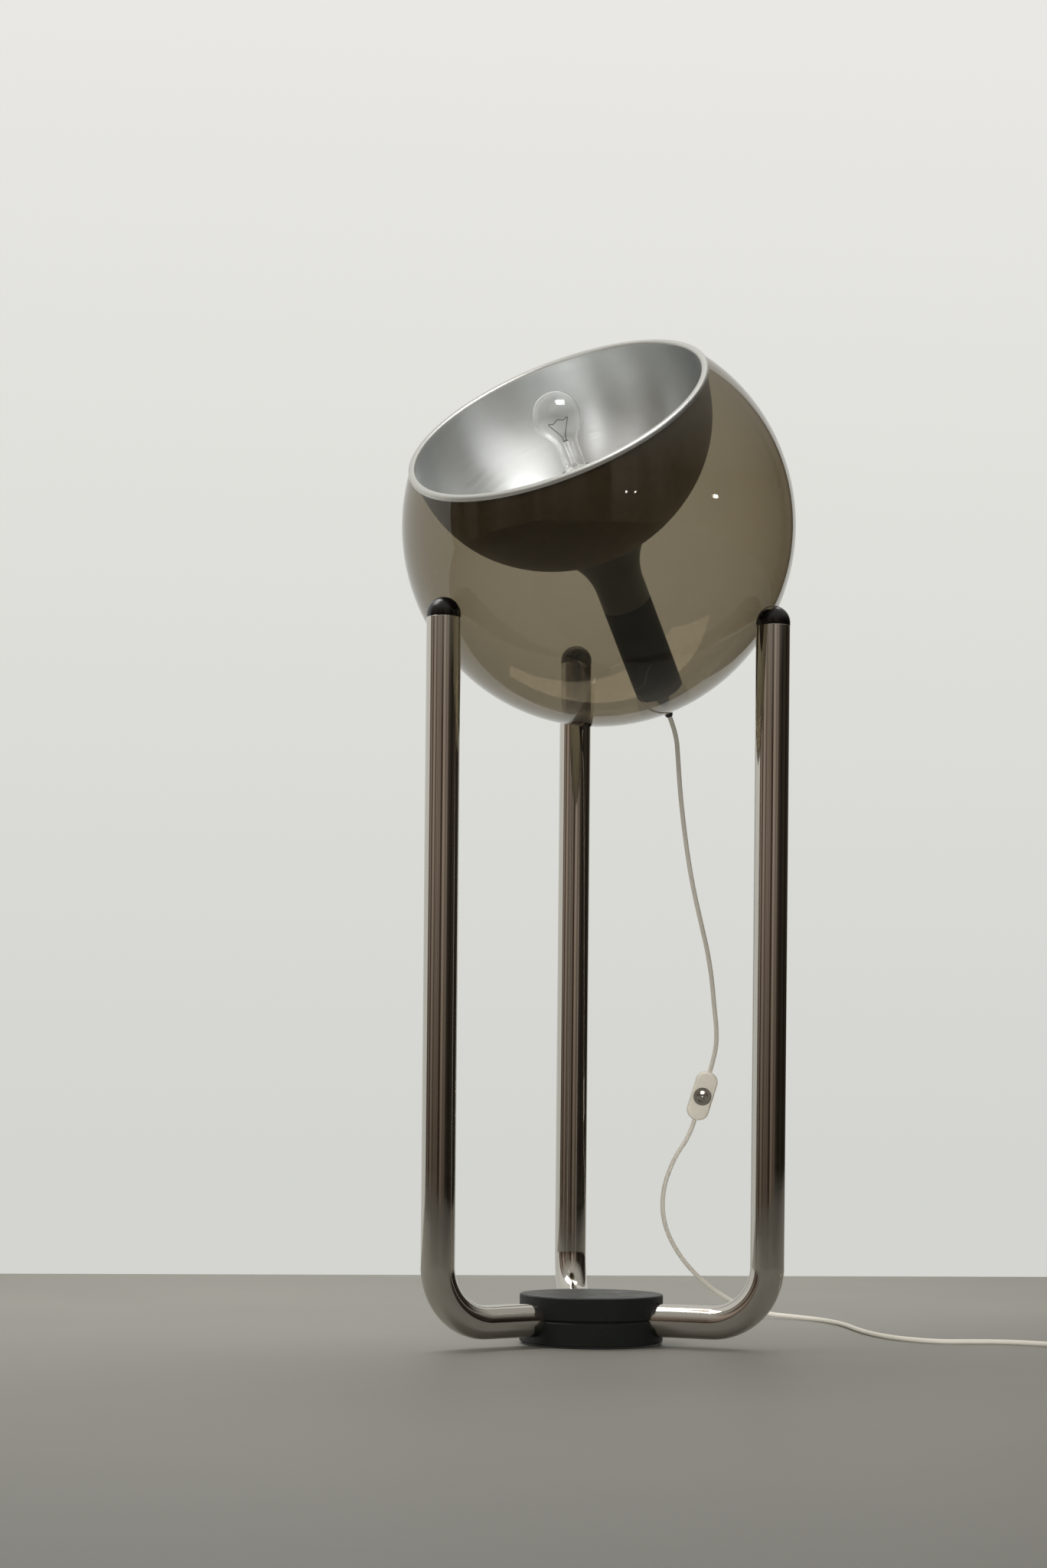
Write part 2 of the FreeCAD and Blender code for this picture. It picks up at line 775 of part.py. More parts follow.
def make_tail_gasket():
    """The soft washer that seats the tail nut on the round outside of the globe."""
    hole = stem_hole_radius
    seat = globe_radius + face_gap
    middle = (hole + gasket_radius) / 2
    inner_top = (hole, below_middle(seat, hole))
    outer_top = (gasket_radius, below_middle(seat, gasket_radius))
    return turned([
        line((hole, gasket_bottom), (gasket_radius, gasket_bottom)),
        line((gasket_radius, gasket_bottom), outer_top),
        arc(outer_top, (middle, below_middle(seat, middle)), inner_top),
        line(inner_top, (hole, gasket_bottom)),
    ])


def hex_nut(low, high):
    """A six-sided nut on the threaded stem."""
    return hexagon(nut_flats, low, high).cut(upright(stem_hole_radius, low, high))


def make_cord_bushing():
    """The tapered strain relief on the stem's end; its tip is round about the globe's centre."""
    bore = cord_radius + bushing_bore_clearance
    collar_bottom = nut_bottom - bushing_collar_height
    middle = (bore + bushing_tip_radius) / 2
    outer_tip = (bushing_tip_radius, below_middle(tail_radius, bushing_tip_radius))
    inner_tip = (bore, below_middle(tail_radius, bore))
    return turned([
        line((stem_hole_radius, nut_bottom), (bushing_collar_radius, nut_bottom)),
        line((bushing_collar_radius, nut_bottom), (bushing_collar_radius, collar_bottom)),
        line((bushing_collar_radius, collar_bottom), outer_tip),
        arc(outer_tip, (middle, below_middle(tail_radius, middle)), inner_tip),
        line(inner_tip, (bore, collar_bottom)),
        line((bore, collar_bottom), (stem_hole_radius, collar_bottom)),
        line((stem_hole_radius, collar_bottom), (stem_hole_radius, nut_bottom)),
    ])


def make_inner_cord():
    """The cord inside the stem, from the holder's insert to the bushing's tip."""
    tip = (cord_radius, below_middle(tail_radius, cord_radius))
    middle = (cord_radius / 2, below_middle(tail_radius, cord_radius / 2))
    return turned([
        line((0, holder_seam), (cord_radius, holder_seam)),
        line((cord_radius, holder_seam), tip),
        arc(tip, middle, (0, -tail_radius)),
        line((0, -tail_radius), (0, holder_seam)),
    ])


def make_globe():
    """Globe, reflector, neck, lamp holder, bulb and cord exit, about the globe's own axis."""
    stem_top = pillar_top + holder_cap_floor + stem_top_inside_cap
    stem_bottom = nut_bottom - bushing_collar_height + face_gap
    shell_bore = bulb_cap_radius + bulb_cap_clearance
    web_bottom = bowl_floor - neck_web
    pieces = {
        "globe_shell": make_globe_shell(),
        "rim_ring": make_rim_ring(),
        "reflector_bowl": make_reflector_bowl(),
        "neck_flare": make_neck_flare(),
        "neck_nut": hex_nut(web_bottom - nut_height, web_bottom),
        "socket_sleeve": make_socket_sleeve(),
        "threaded_stem": ring_of(stem_radius, stem_bore_radius, stem_bottom, stem_top),
        "holder_pillar": make_holder_pillar(),
        "holder_cap": make_holder_cap(),
        "holder_skirt": ring_of(holder_radius, holder_bore_radius, holder_seam, holder_top),
        "holder_insert": upright(insert_radius, holder_seam, insert_top),
        "holder_screw_shell": ring_of(
            shell_bore + screw_shell_wall, shell_bore, insert_top, insert_top + screw_shell_height
        ),
        "holder_contact": make_holder_contact(),
        "bulb_cap": make_bulb_cap(),
        "bulb_glass": make_bulb_glass(),
        "bulb_mount": make_bulb_mount(),
        "bulb_filament": make_bulb_filament(),
        "tail_gasket": make_tail_gasket(),
        "tail_nut": hex_nut(nut_bottom, gasket_bottom),
        "cord_bushing": make_cord_bushing(),
        "inner_cord": make_inner_cord(),
    }
    return {node: on_globe(shape) for node, shape in pieces.items()}


def switch_place():
    """Where the switch hangs: X along the cord, Z out of the button's face."""
    x_axis = Vector(switch_along).normalize()
    z_axis = switch_facing - x_axis * switch_facing.dot(x_axis)
    z_axis.normalize()
    y_axis = z_axis.cross(x_axis)
    turn = FreeCAD.Rotation(x_axis, y_axis, z_axis, "ZXY")
    return FreeCAD.Placement(switch_centre, turn)


case_front = switch_thickness / 2
case_inside = case_front - switch_wall
button_hole_radius = button_radius + button_gap


def case_half():
    """One hollow half of the switch, its open side on Z 0 and its outside up."""
    outline = rounded_rectangle(switch_length, switch_width, switch_corner, 0)
    half = Part.Face(outline).extrude(up * case_front)
    rim = [edge for edge in half.Edges if edge.BoundBox.ZMin > case_front - face_gap]
    half = half.makeFillet(min(switch_edge_round, switch_corner / 2), rim)
    hollow = rounded_rectangle(
        switch_length - 2 * switch_wall,
        switch_width - 2 * switch_wall,
        switch_corner - switch_wall,
        0,
    )
    return half.cut(Part.Face(hollow).extrude(up * case_inside))


def case_posts(radius, low, high):
    """Two round posts on a diagonal of the switch."""
    places = ((case_post_x, case_post_y), (-case_post_x, -case_post_y))
    return [upright(radius, low, high, x, y) for x, y in places]


def make_switch():
    """The in-line switch: two case halves, screws, contact block, bezel and button."""
    turn_over = FreeCAD.Rotation(Vector(1, 0, 0), 180)
    screw_top = case_screw_length - case_front
    hole = case_screw_radius + hole_clearance
    head_hole = case_screw_head_radius + hole_clearance
    head_top = -case_front + case_screw_head_height

    front = case_half().multiFuse(case_posts(case_post_radius, 0, case_inside + face_gap)).removeSplitter()
    for bore in case_posts(hole, 0, screw_top + hole_clearance):
        front = front.cut(bore)
    front = front.cut(upright(button_hole_radius, 0, switch_thickness))

    back = case_half()
    back.Placement = FreeCAD.Placement(Vector(0, 0, 0), turn_over)
    back = back.multiFuse(case_posts(case_post_radius, -case_inside - face_gap, 0)).removeSplitter()
    for bore in case_posts(hole, -case_front, 0) + case_posts(head_hole, -case_front, head_top):
        back = back.cut(bore)

    heads = case_posts(case_screw_head_radius, -case_front, head_top)
    shanks = case_posts(case_screw_radius, -case_front, screw_top)
    screws = [head.fuse(shank).removeSplitter() for head, shank in zip(heads, shanks)]

    flange_low = case_inside - button_flange_height
    button_top = case_front + button_proud
    crown_start = button_top - button_crown
    crown_radius = (button_radius ** 2 + button_crown ** 2) / (2 * button_crown)
    half_radius = button_radius / 2
    crown_middle = button_top - crown_radius + math.sqrt(crown_radius ** 2 - half_radius ** 2)
    flange_radius_inside = button_hole_radius + button_flange
    button = turned([
        line((0, flange_low), (flange_radius_inside, flange_low)),
        line((flange_radius_inside, flange_low), (flange_radius_inside, case_inside)),
        line((flange_radius_inside, case_inside), (button_radius, case_inside)),
        line((button_radius, case_inside), (button_radius, crown_start)),
        arc((button_radius, crown_start), (half_radius, crown_middle), (0, button_top)),
        line((0, button_top), (0, flange_low)),
    ])
    block_top = flange_low - button_travel - contact_block_gap
    block = Part.makeBox(
        contact_block_length,
        contact_block_width,
        block_top + case_inside,
        Vector(-contact_block_length / 2, -contact_block_width / 2, -case_inside),
    )
    bezel = ring_of(bezel_radius, button_hole_radius, case_front, case_front + bezel_height)
    pieces = {
        "switch_front_shell": front,
        "switch_back_shell": back,
        "switch_screws": Part.makeCompound(screws),
        "switch_contact_block": block,
        "switch_bezel": bezel,
        "switch_button": button,
    }
    place = switch_place()
    for shape in pieces.values():
        shape.Placement = place.multiply(shape.Placement)
    return pieces


def check_tube(name, solid, path, radii):
    """Prints a cord's bends, and its volume beside its section times its length."""
    ideal = math.pi * cord_radius ** 2 * path.Length
    tightest = min(radii) / cord_diameter
    listed = " ".join("%.0f" % radius for radius in radii)
    print("%s: length %.1f, bend radii %s" % (name, path.Length, listed))
    print("  tightest bend %.1f diameters, volume ratio %.5f" % (tightest, solid.Volume / ideal))


def cord_stretch(name, points):
    """A free stretch of the cord through points chosen by hand."""
    path, radii = rounded_path(points)
    solid = along(path, cord_radius, points[0], points[1] - points[0])
    check_tube(name, solid, path, radii)
    return solid


def coil_place(turn):
    """A point of the coil's middle line, after so many turns: in below, up, and out above."""
    inside = coil_outer_radius - coil_pitch * coil_layer_turns
    climbed = (turn - coil_layer_turns) / coil_climb_turns
    if climbed < 0:
        radius = coil_outer_radius - coil_pitch * turn
        rise = 0
    elif climbed < 1:
        radius = inside - coil_pitch * coil_climb_turns * climbed * (1 - climbed)
        rise = climbed * climbed * (3 - 2 * climbed)
    else:
        radius = inside + coil_pitch * (turn - coil_layer_turns - coil_climb_turns)
        rise = 1
    angle = math.radians(coil_start_angle + 360 * turn)
    middle = coil_start + Vector(cord_diameter, coil_outer_radius, coil_lower_height)
    return middle + Vector(radius * math.cos(angle), radius * math.sin(angle), coil_rise * rise)


def coil_heading(turn):
    """The way the coil's middle line runs after so many turns."""
    step = 0.0001
    return (coil_place(turn + step) - coil_place(turn - step)).normalize()


def tangent_arc(start, corner, end):
    """An arc from start to end that touches the two equal sides of their corner."""
    middle = (start + end) / 2
    quarter_turn = (corner - start).getAngle(end - corner) / 4
    bulge = (end - start).Length / 2 * math.tan(quarter_turn)
    return Part.Arc(start, middle + (corner - middle).normalize() * bulge, end).toShape()


def biarc(start, heading, end, end_heading):
    """Two arcs that join smoothly and leave and arrive along given headings."""
    chord = end - start
    swing = 2 * (1 - heading.dot(end_heading))
    lean = chord.dot(heading + end_heading)
    reach = (math.sqrt(lean ** 2 + swing * chord.dot(chord)) - lean) / swing
    first = start + heading * reach
    second = end - end_heading * reach
    joint = (first + second) / 2
    return [tangent_arc(start, first, joint), tangent_arc(joint, second, end)]


def coil_self_gap(path):
    """The least gap between the coil's turns, measured on points along its middle line."""
    places = path.discretize(Distance=cord_radius)
    apart = int(coil_outer_radius / cord_radius)
    least = coil_outer_radius
    for number, place in enumerate(places):
        for other in places[number + apart:]:
            least = min(least, (other - place).Length - cord_diameter)
    return least


def make_coil():
    """The put-away length: loops in two layers, with straight ends."""
    turns = 2 * coil_layer_turns + coil_climb_turns
    quarters = int(round(4 * turns))
    stops = [turns * count / quarters for count in range(quarters + 1)]
    climb_end = coil_layer_turns + coil_climb_turns
    stops = sorted(set(stops + [coil_layer_turns, climb_end, coil_layer_turns + coil_climb_turns / 2]))
    start_heading = Vector(1, 0, 0)
    start = coil_start + Vector(0, 0, coil_lower_height)
    places = [coil_place(stop) for stop in stops]
    headings = [coil_heading(stop) for stop in stops]
    headings[0] = start_heading
    headings[-1] = Vector(0, 1, 0)
    edges = [Part.LineSegment(start, places[0]).toShape()]
    for number in range(len(stops) - 1):
        edges += biarc(places[number], headings[number], places[number + 1], headings[number + 1])
    end = places[-1] + headings[-1] * coil_end_run
    edges.append(Part.LineSegment(places[-1], end).toShape())
    path = Part.Wire(edges)
    ring = Part.Wire(Part.makeCircle(cord_radius, start, start_heading))
    solid = path.makePipeShell([ring], True)
    arcs = [edge.Curve.Radius for edge in edges if edge.Curve.TypeId == "Part::GeomCircle"]
    check_tube("cord_coil", solid, path, arcs)
    print("  least gap between the coil's turns %.2f" % coil_self_gap(path))
    return solid, end


def make_tie():
    """The flat band round the coil's bundle of turns."""
    crossing = (tie_angle - coil_start_angle) / 360
    bundle = [coil_place(crossing + loop) for loop in range(int(2 * coil_layer_turns + coil_climb_turns))]
    middle = coil_start + Vector(cord_diameter, coil_outer_radius, 0)
    reaches = [math.hypot(place.x - middle.x, place.y - middle.y) for place in bundle]
    room = cord_radius + tie_side_clearance
    inner = Part.makeBox(
        max(reaches) - min(reaches) + 2 * room,
        tie_width,
        coil_upper_height + cord_radius + tie_clearance - tie_thickness,
        Vector(min(reaches) - room, -tie_width / 2, tie_thickness),
    )
    outer = Part.makeBox(
        inner.BoundBox.XLength + 2 * tie_thickness,
        tie_width,
        inner.BoundBox.ZMax + tie_thickness,
        Vector(inner.BoundBox.XMin - tie_thickness, -tie_width / 2, 0),
    )
    corners = [edge for edge in outer.Edges if edge.BoundBox.YLength > tie_width - face_gap]
    outer = outer.makeFillet(tie_thickness, corners)
    band = outer.cut(inner).rotated(Vector(0, 0, 0), up, tie_angle)
    return band.translated(middle)


def make_plug(cord_end):
    """A flat two-pin plug that lies on the floor, its cord entry at the coil's upper layer."""
    thickness = 2 * coil_upper_height
    relief = Part.makeCone(plug_relief_tip_radius, plug_relief_radius, plug_relief_length)
    neck = rounded_rectangle(plug_neck_width, plug_neck_width, plug_corner, plug_relief_length)
    face_height = plug_relief_length + plug_body_length
    face = rounded_rectangle(plug_width, thickness, plug_corner, face_height)
    body = relief.fuse(Part.makeLoft([neck, face], True, True))
    pins = []
    for side in (-1, 1):
        pin = upright(pin_radius, face_height, face_height + pin_length, side * pin_spacing / 2)
        tip = [edge for edge in pin.Edges if edge.BoundBox.ZMin > face_height + pin_length - face_gap]
        pins.append(pin.makeFillet(pin_radius / 2, tip))
    lay_down = FreeCAD.Placement(cord_end, FreeCAD.Rotation(Vector(1, 0, 0), -90))
    pieces = {"plug_body": body, "plug_pins": Part.makeCompound(pins)}
    for shape in pieces.values():
        shape.Placement = lay_down
    return pieces


def make_cord():
    """The free cord: hanging to the switch, down to the floor and away to its coil."""
    place = switch_place()
    cord_way = place.Rotation.multVec(Vector(1, 0, 0))
    switch_top = place.multVec(Vector(-switch_length / 2, 0, 0))
    switch_foot = place.multVec(Vector(switch_length / 2, 0, 0))
    exit_point = globe_centre + tail_direction * (tail_radius + tail_sweep_gap)
    upper_points = [
        exit_point,
        exit_point + tail_direction * cord_first_run,
        Vector(118.5, 147.5, 690),
        Vector(120.0, 155.0, 650),
        Vector(126.0, 160.5, 612),
        Vector(135.5, 165.0, 575),
        Vector(148.5, 170.0, 534),
        Vector(160.5, 176.0, 492),
        Vector(167.0, 181.5, 458),
        Vector(170.5, 187.0, 425),
        Vector(173.5, 191.5, 393),
        Vector(175.5, 196.0, 364),
        switch_top - cord_way * switch_run_above,
        switch_top,
    ]
    lower_points = [
        switch_foot,
        switch_foot + cord_way * switch_run_below,
        Vector(134.0, 225.0, 208),
        Vector(123.5, 250.0, 165),
        Vector(133.5, 283.0, 119),
        Vector(166.0, 320.0, 71),
        Vector(213.0, 352.0, 28),
        Vector(262.0, 362.0, 6.5),
        Vector(306.0, 338.0, 3.4),
        Vector(335.0, 290.0, 3),
        Vector(345.0, 222.0, 3),
        Vector(343.5, 152.0, 3),
        Vector(349.0, 86.0, 3),
        Vector(366.0, 26.0, 3),
        Vector(402.0, -14.0, 3),
        Vector(440.0, -12.0, 3),
        Vector(476.0, -14.0, 3),
        Vector(507.0, -34.0, 3.2),
        Vector(532.0, -61.0, 3.6),
        Vector(562.0, -76.0, coil_lower_height),
        coil_start + Vector(0, 0, coil_lower_height),
    ]
    coil, coil_end = make_coil()
    pieces = {
        "cord_upper": cord_stretch("cord_upper", upper_points),
        "cord_lower": cord_stretch("cord_lower", lower_points),
        "cord_coil": coil,
        "coil_tie": make_tie(),
    }
    pieces.update(make_plug(coil_end))
    return pieces


def main():
    """Builds every piece and writes each to its own file."""
    os.makedirs("parts", exist_ok=True)
    pieces = {}
    pieces.update(make_stand())
    pieces.update(make_globe())
    pieces.update(make_switch())
    pieces.update(make_cord())
    for node, shape in pieces.items():
        if not shape.isValid():
            print("%s is not a valid shape" % node)
        shape.exportStep("parts/%s.step" % node)
    print("%d pieces, globe centre at %.1f, legs on a circle of %.1f" % (
        len(pieces), globe_height, leg_circle_radius))


main()
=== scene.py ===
import math
import bpy
from mathutils import Matrix, Quaternion, Vector


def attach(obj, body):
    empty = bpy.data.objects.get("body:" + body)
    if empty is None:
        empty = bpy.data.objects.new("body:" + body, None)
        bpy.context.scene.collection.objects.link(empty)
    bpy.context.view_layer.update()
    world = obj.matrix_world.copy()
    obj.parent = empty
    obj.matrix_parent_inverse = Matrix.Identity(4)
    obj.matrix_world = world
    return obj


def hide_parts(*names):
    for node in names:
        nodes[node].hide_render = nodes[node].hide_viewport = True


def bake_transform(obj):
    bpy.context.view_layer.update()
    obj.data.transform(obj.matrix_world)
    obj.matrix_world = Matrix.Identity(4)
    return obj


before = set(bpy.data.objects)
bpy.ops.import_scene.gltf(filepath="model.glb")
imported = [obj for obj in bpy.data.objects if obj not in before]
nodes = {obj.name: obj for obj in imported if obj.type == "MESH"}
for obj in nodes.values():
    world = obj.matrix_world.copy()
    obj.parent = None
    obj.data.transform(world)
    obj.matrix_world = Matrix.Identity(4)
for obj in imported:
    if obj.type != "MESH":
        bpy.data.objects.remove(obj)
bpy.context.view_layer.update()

# Camera: level, low and 3.2 m in front of the lamp, turned a little to the right. The picture is
# cut from the upper part of its view, so the frame is moved up, and it leans by half a degree.
camera_lens_mm = 63.49
camera_place = (-0.3882, -3.1413, 0.2785)
camera_aim = Vector((0.0976, 0.9952, 0.0))
camera_roll = 0.0094
camera_shift = 0.2008
camera_data = bpy.data.cameras.new("photo_camera")
camera_data.lens = camera_lens_mm
camera_data.shift_y = camera_shift
camera = bpy.data.objects.new("photo_camera", camera_data)
camera.location = camera_place
camera.rotation_mode = "QUATERNION"
camera.rotation_quaternion = camera_aim.to_track_quat("-Z", "Y") @ Quaternion((0, 0, 1), camera_roll)
bpy.context.scene.collection.objects.link(camera)
bpy.context.scene.camera = camera

# Base: a drum of two sand-cast iron halves, faced on a lathe and sprayed with matte black lacquer.
# They meet at a chamfered seam, and a bolt from below draws them together over the legs.


def linear(hex_colour):
    """An sRGB hex colour as the linear colour that a shader takes."""
    parts = [int(hex_colour[place:place + 2], 16) / 255 for place in (1, 3, 5)]
    light = [part / 12.92 if part <= 0.04045 else ((part + 0.055) / 1.055) ** 2.4 for part in parts]
    return light + [1.0]


def add_node(tree, kind, values, **settings):
    """Adds a node with its settings, and fills its sockets with numbers, colours or links."""
    node = tree.nodes.new(kind)
    for setting, choice in settings.items():
        setattr(node, setting, choice)
    for socket, value in values.items():
        if isinstance(value, bpy.types.NodeSocket):
            tree.links.new(value, node.inputs[socket])
        else:
            node.inputs[socket].default_value = value
    return node


def start_material(name):
    """An empty node tree for a new material, and the place on the piece in metres."""
    material = bpy.data.materials.new(name)
    material.use_nodes = True
    tree = material.node_tree
    tree.nodes.clear()
    place = add_node(tree, "ShaderNodeTexCoord", {}).outputs["Object"]
    return material, tree, place


def end_material(tree, values):
    """Closes a material with its one surface shader."""
    shader = add_node(tree, "ShaderNodeBsdfPrincipled", values)
    add_node(tree, "ShaderNodeOutputMaterial", {"Surface": shader.outputs["BSDF"]})


def cloudy(tree, place, size_mm, detail):
    """Noise from 0 to 1 whose patches are about as large as a size in millimetres."""
    values = {"Vector": place, "Scale": 1000 / size_mm, "Detail": detail}
    return add_node(tree, "ShaderNodeTexNoise", values).outputs[0]


def ranged(tree, value, old_range, new_range):
    """A value brought from one range into another, and held between its ends."""
    return add_node(tree, "ShaderNodeMapRange", {
        "Value": value,
        "From Min": old_range[0], "From Max": old_range[1],
        "To Min": new_range[0], "To Max": new_range[1],
    }).outputs[0]


def mixed(tree, share, first, second):
    """Two colours mixed by a share. The sockets go by number, because others have the same names."""
    return add_node(tree, "ShaderNodeMix", {0: share, 6: first, 7: second}, data_type="RGBA").outputs[2]


def bumped(tree, height, strength, depth_mm):
    """The slant of a surface with a fine relief of a depth in millimetres."""
    values = {"Height": height, "Strength": strength, "Distance": depth_mm / 1000}
    return add_node(tree, "ShaderNodeBump", values).outputs["Normal"]


def dress(material, *names):
    """Gives a carried-over node its material."""
    for name in names:
        nodes[name].material_slots[0].material = material


# Black lacquer on sand-cast iron: nearly black, dull, with a fine cast grain that shows under the
# paint, and paler grey in patches on its upward faces.
cast_grain_mm = 2.2
dull_patch_mm = 24.0
lacquer, tree, place = start_material("black_lacquered_cast_iron")
grain = cloudy(tree, place, cast_grain_mm, 3.0)
patches = cloudy(tree, place, dull_patch_mm, 4.0)
facing = add_node(tree, "ShaderNodeSeparateXYZ", {
    "Vector": add_node(tree, "ShaderNodeNewGeometry", {}).outputs["Normal"],
})
# The faces that look upwards are made paler grey in patches.
upward = ranged(tree, facing.outputs["Z"], (0.85, 0.99), (0.0, 0.6))
upward_grey_patches = add_node(tree, "ShaderNodeMath", {0: upward, 1: patches}, operation="MULTIPLY")
paint = mixed(tree, grain, linear("#0B0E0D"), linear("#171C1B"))
greyed_top_paint = mixed(tree, upward_grey_patches.outputs[0], paint, linear("#6C6C68"))
dullness = ranged(tree, patches, (0.3, 0.7), (0.42, 0.62))
casting = bumped(tree, grain, 0.35, 0.3)
end_material(tree, {
    "Base Color": greyed_top_paint,
    "Roughness": dullness,
    "Normal": casting,
    "IOR": 1.5,
})
dress(lacquer, "base_lower_half", "base_upper_half")

# Pad: a disc of pressed wool felt, glued under the base over the bolt's recess. Only its edge
# shows, as a dark fuzzy line on the floor.
felt_fibre_mm = 0.8
felt, tree, place = start_material("pressed_wool_felt")
fibres = cloudy(tree, place, felt_fibre_mm, 4.0)
wool = mixed(tree, fibres, linear("#1B1B1B"), linear("#3A3937"))
fuzz = bumped(tree, fibres, 0.6, 0.4)
end_material(tree, {
    "Base Color": wool,
    "Roughness": 0.95,
    "Sheen Weight": 0.3,
    "Normal": fuzz,
})
dress(felt, "base_pad")

# Hub and fasteners: zinc-plated steel pieces inside the base, and the threaded stem and nut inside
# the neck. The screws of the switch are of the same bright steel.
zinc_spangle_mm = 3.0
zinc, tree, place = start_material("zinc_plated_steel")
spangle = cloudy(tree, place, zinc_spangle_mm, 2.0)
plating = mixed(tree, spangle, linear("#A9ABAE"), linear("#C9CBCC"))
zinc_dullness = ranged(tree, spangle, (0.3, 0.7), (0.28, 0.45))
end_material(tree, {
    "Base Color": plating,
    "Metallic": 1.0,
    "Roughness": zinc_dullness,
})
dress(zinc, "leg_hub", "leg_screws", "clamp_bolt", "clamp_washer",
      "threaded_stem", "neck_nut", "switch_screws")

# Legs: three steel tubes, bent once, polished along their length and chromed. They start at the
# hub inside the base, and their upper ends are broken a little before the caps go in.
tube_radius = 0.019
tube_wall = 0.0015
tube_start = 0.032
bend_radius = 0.065
leg_circle = 0.21205
seam_height = 0.0292
leg_top = 0.807
edge_break = 0.0007
level_run = leg_circle - bend_radius - tube_start
upright_run = leg_top - seam_height - bend_radius
same_spot = 0.00001
leg_turns = {"front_left": 210.0, "front_right": 330.0, "rear": 90.0}


def select_edges(piece, wanted):
    """Selects the edges of a piece in edit mode whose two ends pass a test of their place."""
    bpy.ops.mesh.select_mode(type="EDGE")
    bpy.ops.mesh.select_all(action="DESELECT")
    bpy.ops.object.mode_set(mode="OBJECT")
    corners = piece.data.vertices
    for edge in piece.data.edges:
        edge.select = all(wanted(corners[corner].co) for corner in edge.vertices)
    bpy.ops.object.mode_set(mode="EDIT")


def pick(piece):
    """Makes a piece the only selected one, for the operators that follow."""
    bpy.ops.object.select_all(action="DESELECT")
    piece.select_set(True)
    bpy.context.view_layer.objects.active = piece


def lay_on(piece, matrix):
    """Puts a finished piece in its place, with the place held in its mesh."""
    pick(piece)
    piece.matrix_world = matrix
    bpy.ops.object.transform_apply(location=True, rotation=True, scale=True)


bpy.ops.object.select_all(action="DESELECT")
bpy.ops.mesh.primitive_circle_add(
    vertices=72, radius=tube_radius, location=(tube_start, 0, seam_height), rotation=(0, math.pi / 2, 0))
leg = bpy.context.object
bpy.ops.object.transform_apply(location=True, rotation=True, scale=True)
bpy.ops.object.mode_set(mode="EDIT")
bpy.ops.mesh.select_all(action="SELECT")
bpy.ops.mesh.extrude_region_move(TRANSFORM_OT_translate={"value": (level_run, 0, 0)})
bpy.ops.mesh.spin(
    steps=28,
    angle=math.pi / 2,
    center=(leg_circle - bend_radius, 0, seam_height + bend_radius),
    axis=(0, 1, 0),
)
bpy.ops.mesh.extrude_region_move(TRANSFORM_OT_translate={"value": (0, 0, upright_run)})
bpy.ops.mesh.select_all(action="SELECT")
bpy.ops.mesh.remove_doubles(threshold=same_spot)
bpy.ops.mesh.normals_make_consistent(inside=False)
bpy.ops.object.mode_set(mode="OBJECT")
wall = leg.modifiers.new("tube_wall", "SOLIDIFY")
wall.thickness = tube_wall
wall.offset = -1
bpy.ops.object.modifier_apply(modifier="tube_wall")
bpy.ops.object.mode_set(mode="EDIT")
select_edges(leg, lambda spot: spot.z > leg_top - same_spot
             and math.hypot(spot.x - leg_circle, spot.y) > tube_radius - tube_wall / 2)
bpy.ops.mesh.bevel(offset=edge_break, segments=3, affect="EDGES")
bpy.ops.object.mode_set(mode="OBJECT")
bpy.ops.object.shade_smooth_by_angle(angle=math.radians(40))

# Chrome plate over polished steel: mirror bright and a little warm, with faint lines of the polishing
# belt along the tube. The lines are drawn 3 mm wide, because the real ones are too fine to show.
polish_line_mm = 3.0
polish_length_mm = 900.0
rub_mm = 40.0
chrome, tree, place = start_material("chrome_plate")
stretched = add_node(tree, "ShaderNodeMapping", {
    "Vector": place,
    "Scale": (1000 / polish_line_mm, 1000 / polish_line_mm, 1000 / polish_length_mm),
})
lines = add_node(tree, "ShaderNodeTexNoise", {
    "Vector": stretched.outputs[0], "Scale": 1.0, "Detail": 2.0,
})
rubs = cloudy(tree, place, rub_mm, 3.0)
haze = ranged(tree, rubs, (0.35, 0.7), (0.05, 0.13))
ripple = bumped(tree, lines.outputs[0], 0.1, 0.2)
end_material(tree, {
    "Base Color": linear("#C9C5BE"),
    "Metallic": 1.0,
    "Roughness": haze,
    "Normal": ripple,
})
leg.data.materials.append(chrome)
for side, turn in leg_turns.items():
    pick(leg)
    bpy.ops.object.duplicate(linked=False)
    tube = bpy.context.object
    tube.name = side + "_leg_tube"
    lay_on(tube, Matrix.Rotation(math.radians(turn), 4, "Z"))
    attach(tube, "stand")
    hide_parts("leg_" + side)
bpy.data.objects.remove(leg)

# Caps: black phenolic mouldings pressed into the open tubes. A short band stands on the tube's
# edge, and the polished dome on it carries the globe.
cap_band = 0.0035
cap_shank_radius = 0.0173
cap_shank = 0.026
cap_round = 0.0005
bpy.ops.object.select_all(action="DESELECT")
bpy.ops.mesh.primitive_uv_sphere_add(
    segments=64, ring_count=32, radius=tube_radius, location=(leg_circle, 0, leg_top + cap_band))
cap = bpy.context.object
bpy.ops.object.transform_apply(location=True, rotation=True, scale=True)
bpy.ops.object.mode_set(mode="EDIT")
bpy.ops.mesh.select_all(action="SELECT")
bpy.ops.mesh.bisect(plane_co=(leg_circle, 0, leg_top + cap_band), plane_no=(0, 0, 1), clear_inner=True)
select_edges(cap, lambda spot: spot.z < leg_top + cap_band + same_spot)
bpy.ops.mesh.extrude_region_move(TRANSFORM_OT_translate={"value": (0, 0, -cap_band)})
bpy.ops.mesh.extrude_region_move(TRANSFORM_OT_translate={"value": (0, 0, 0)})
shank_share = cap_shank_radius / tube_radius
bpy.ops.transform.resize(value=(shank_share, shank_share, 1), center_override=(leg_circle, 0, leg_top))
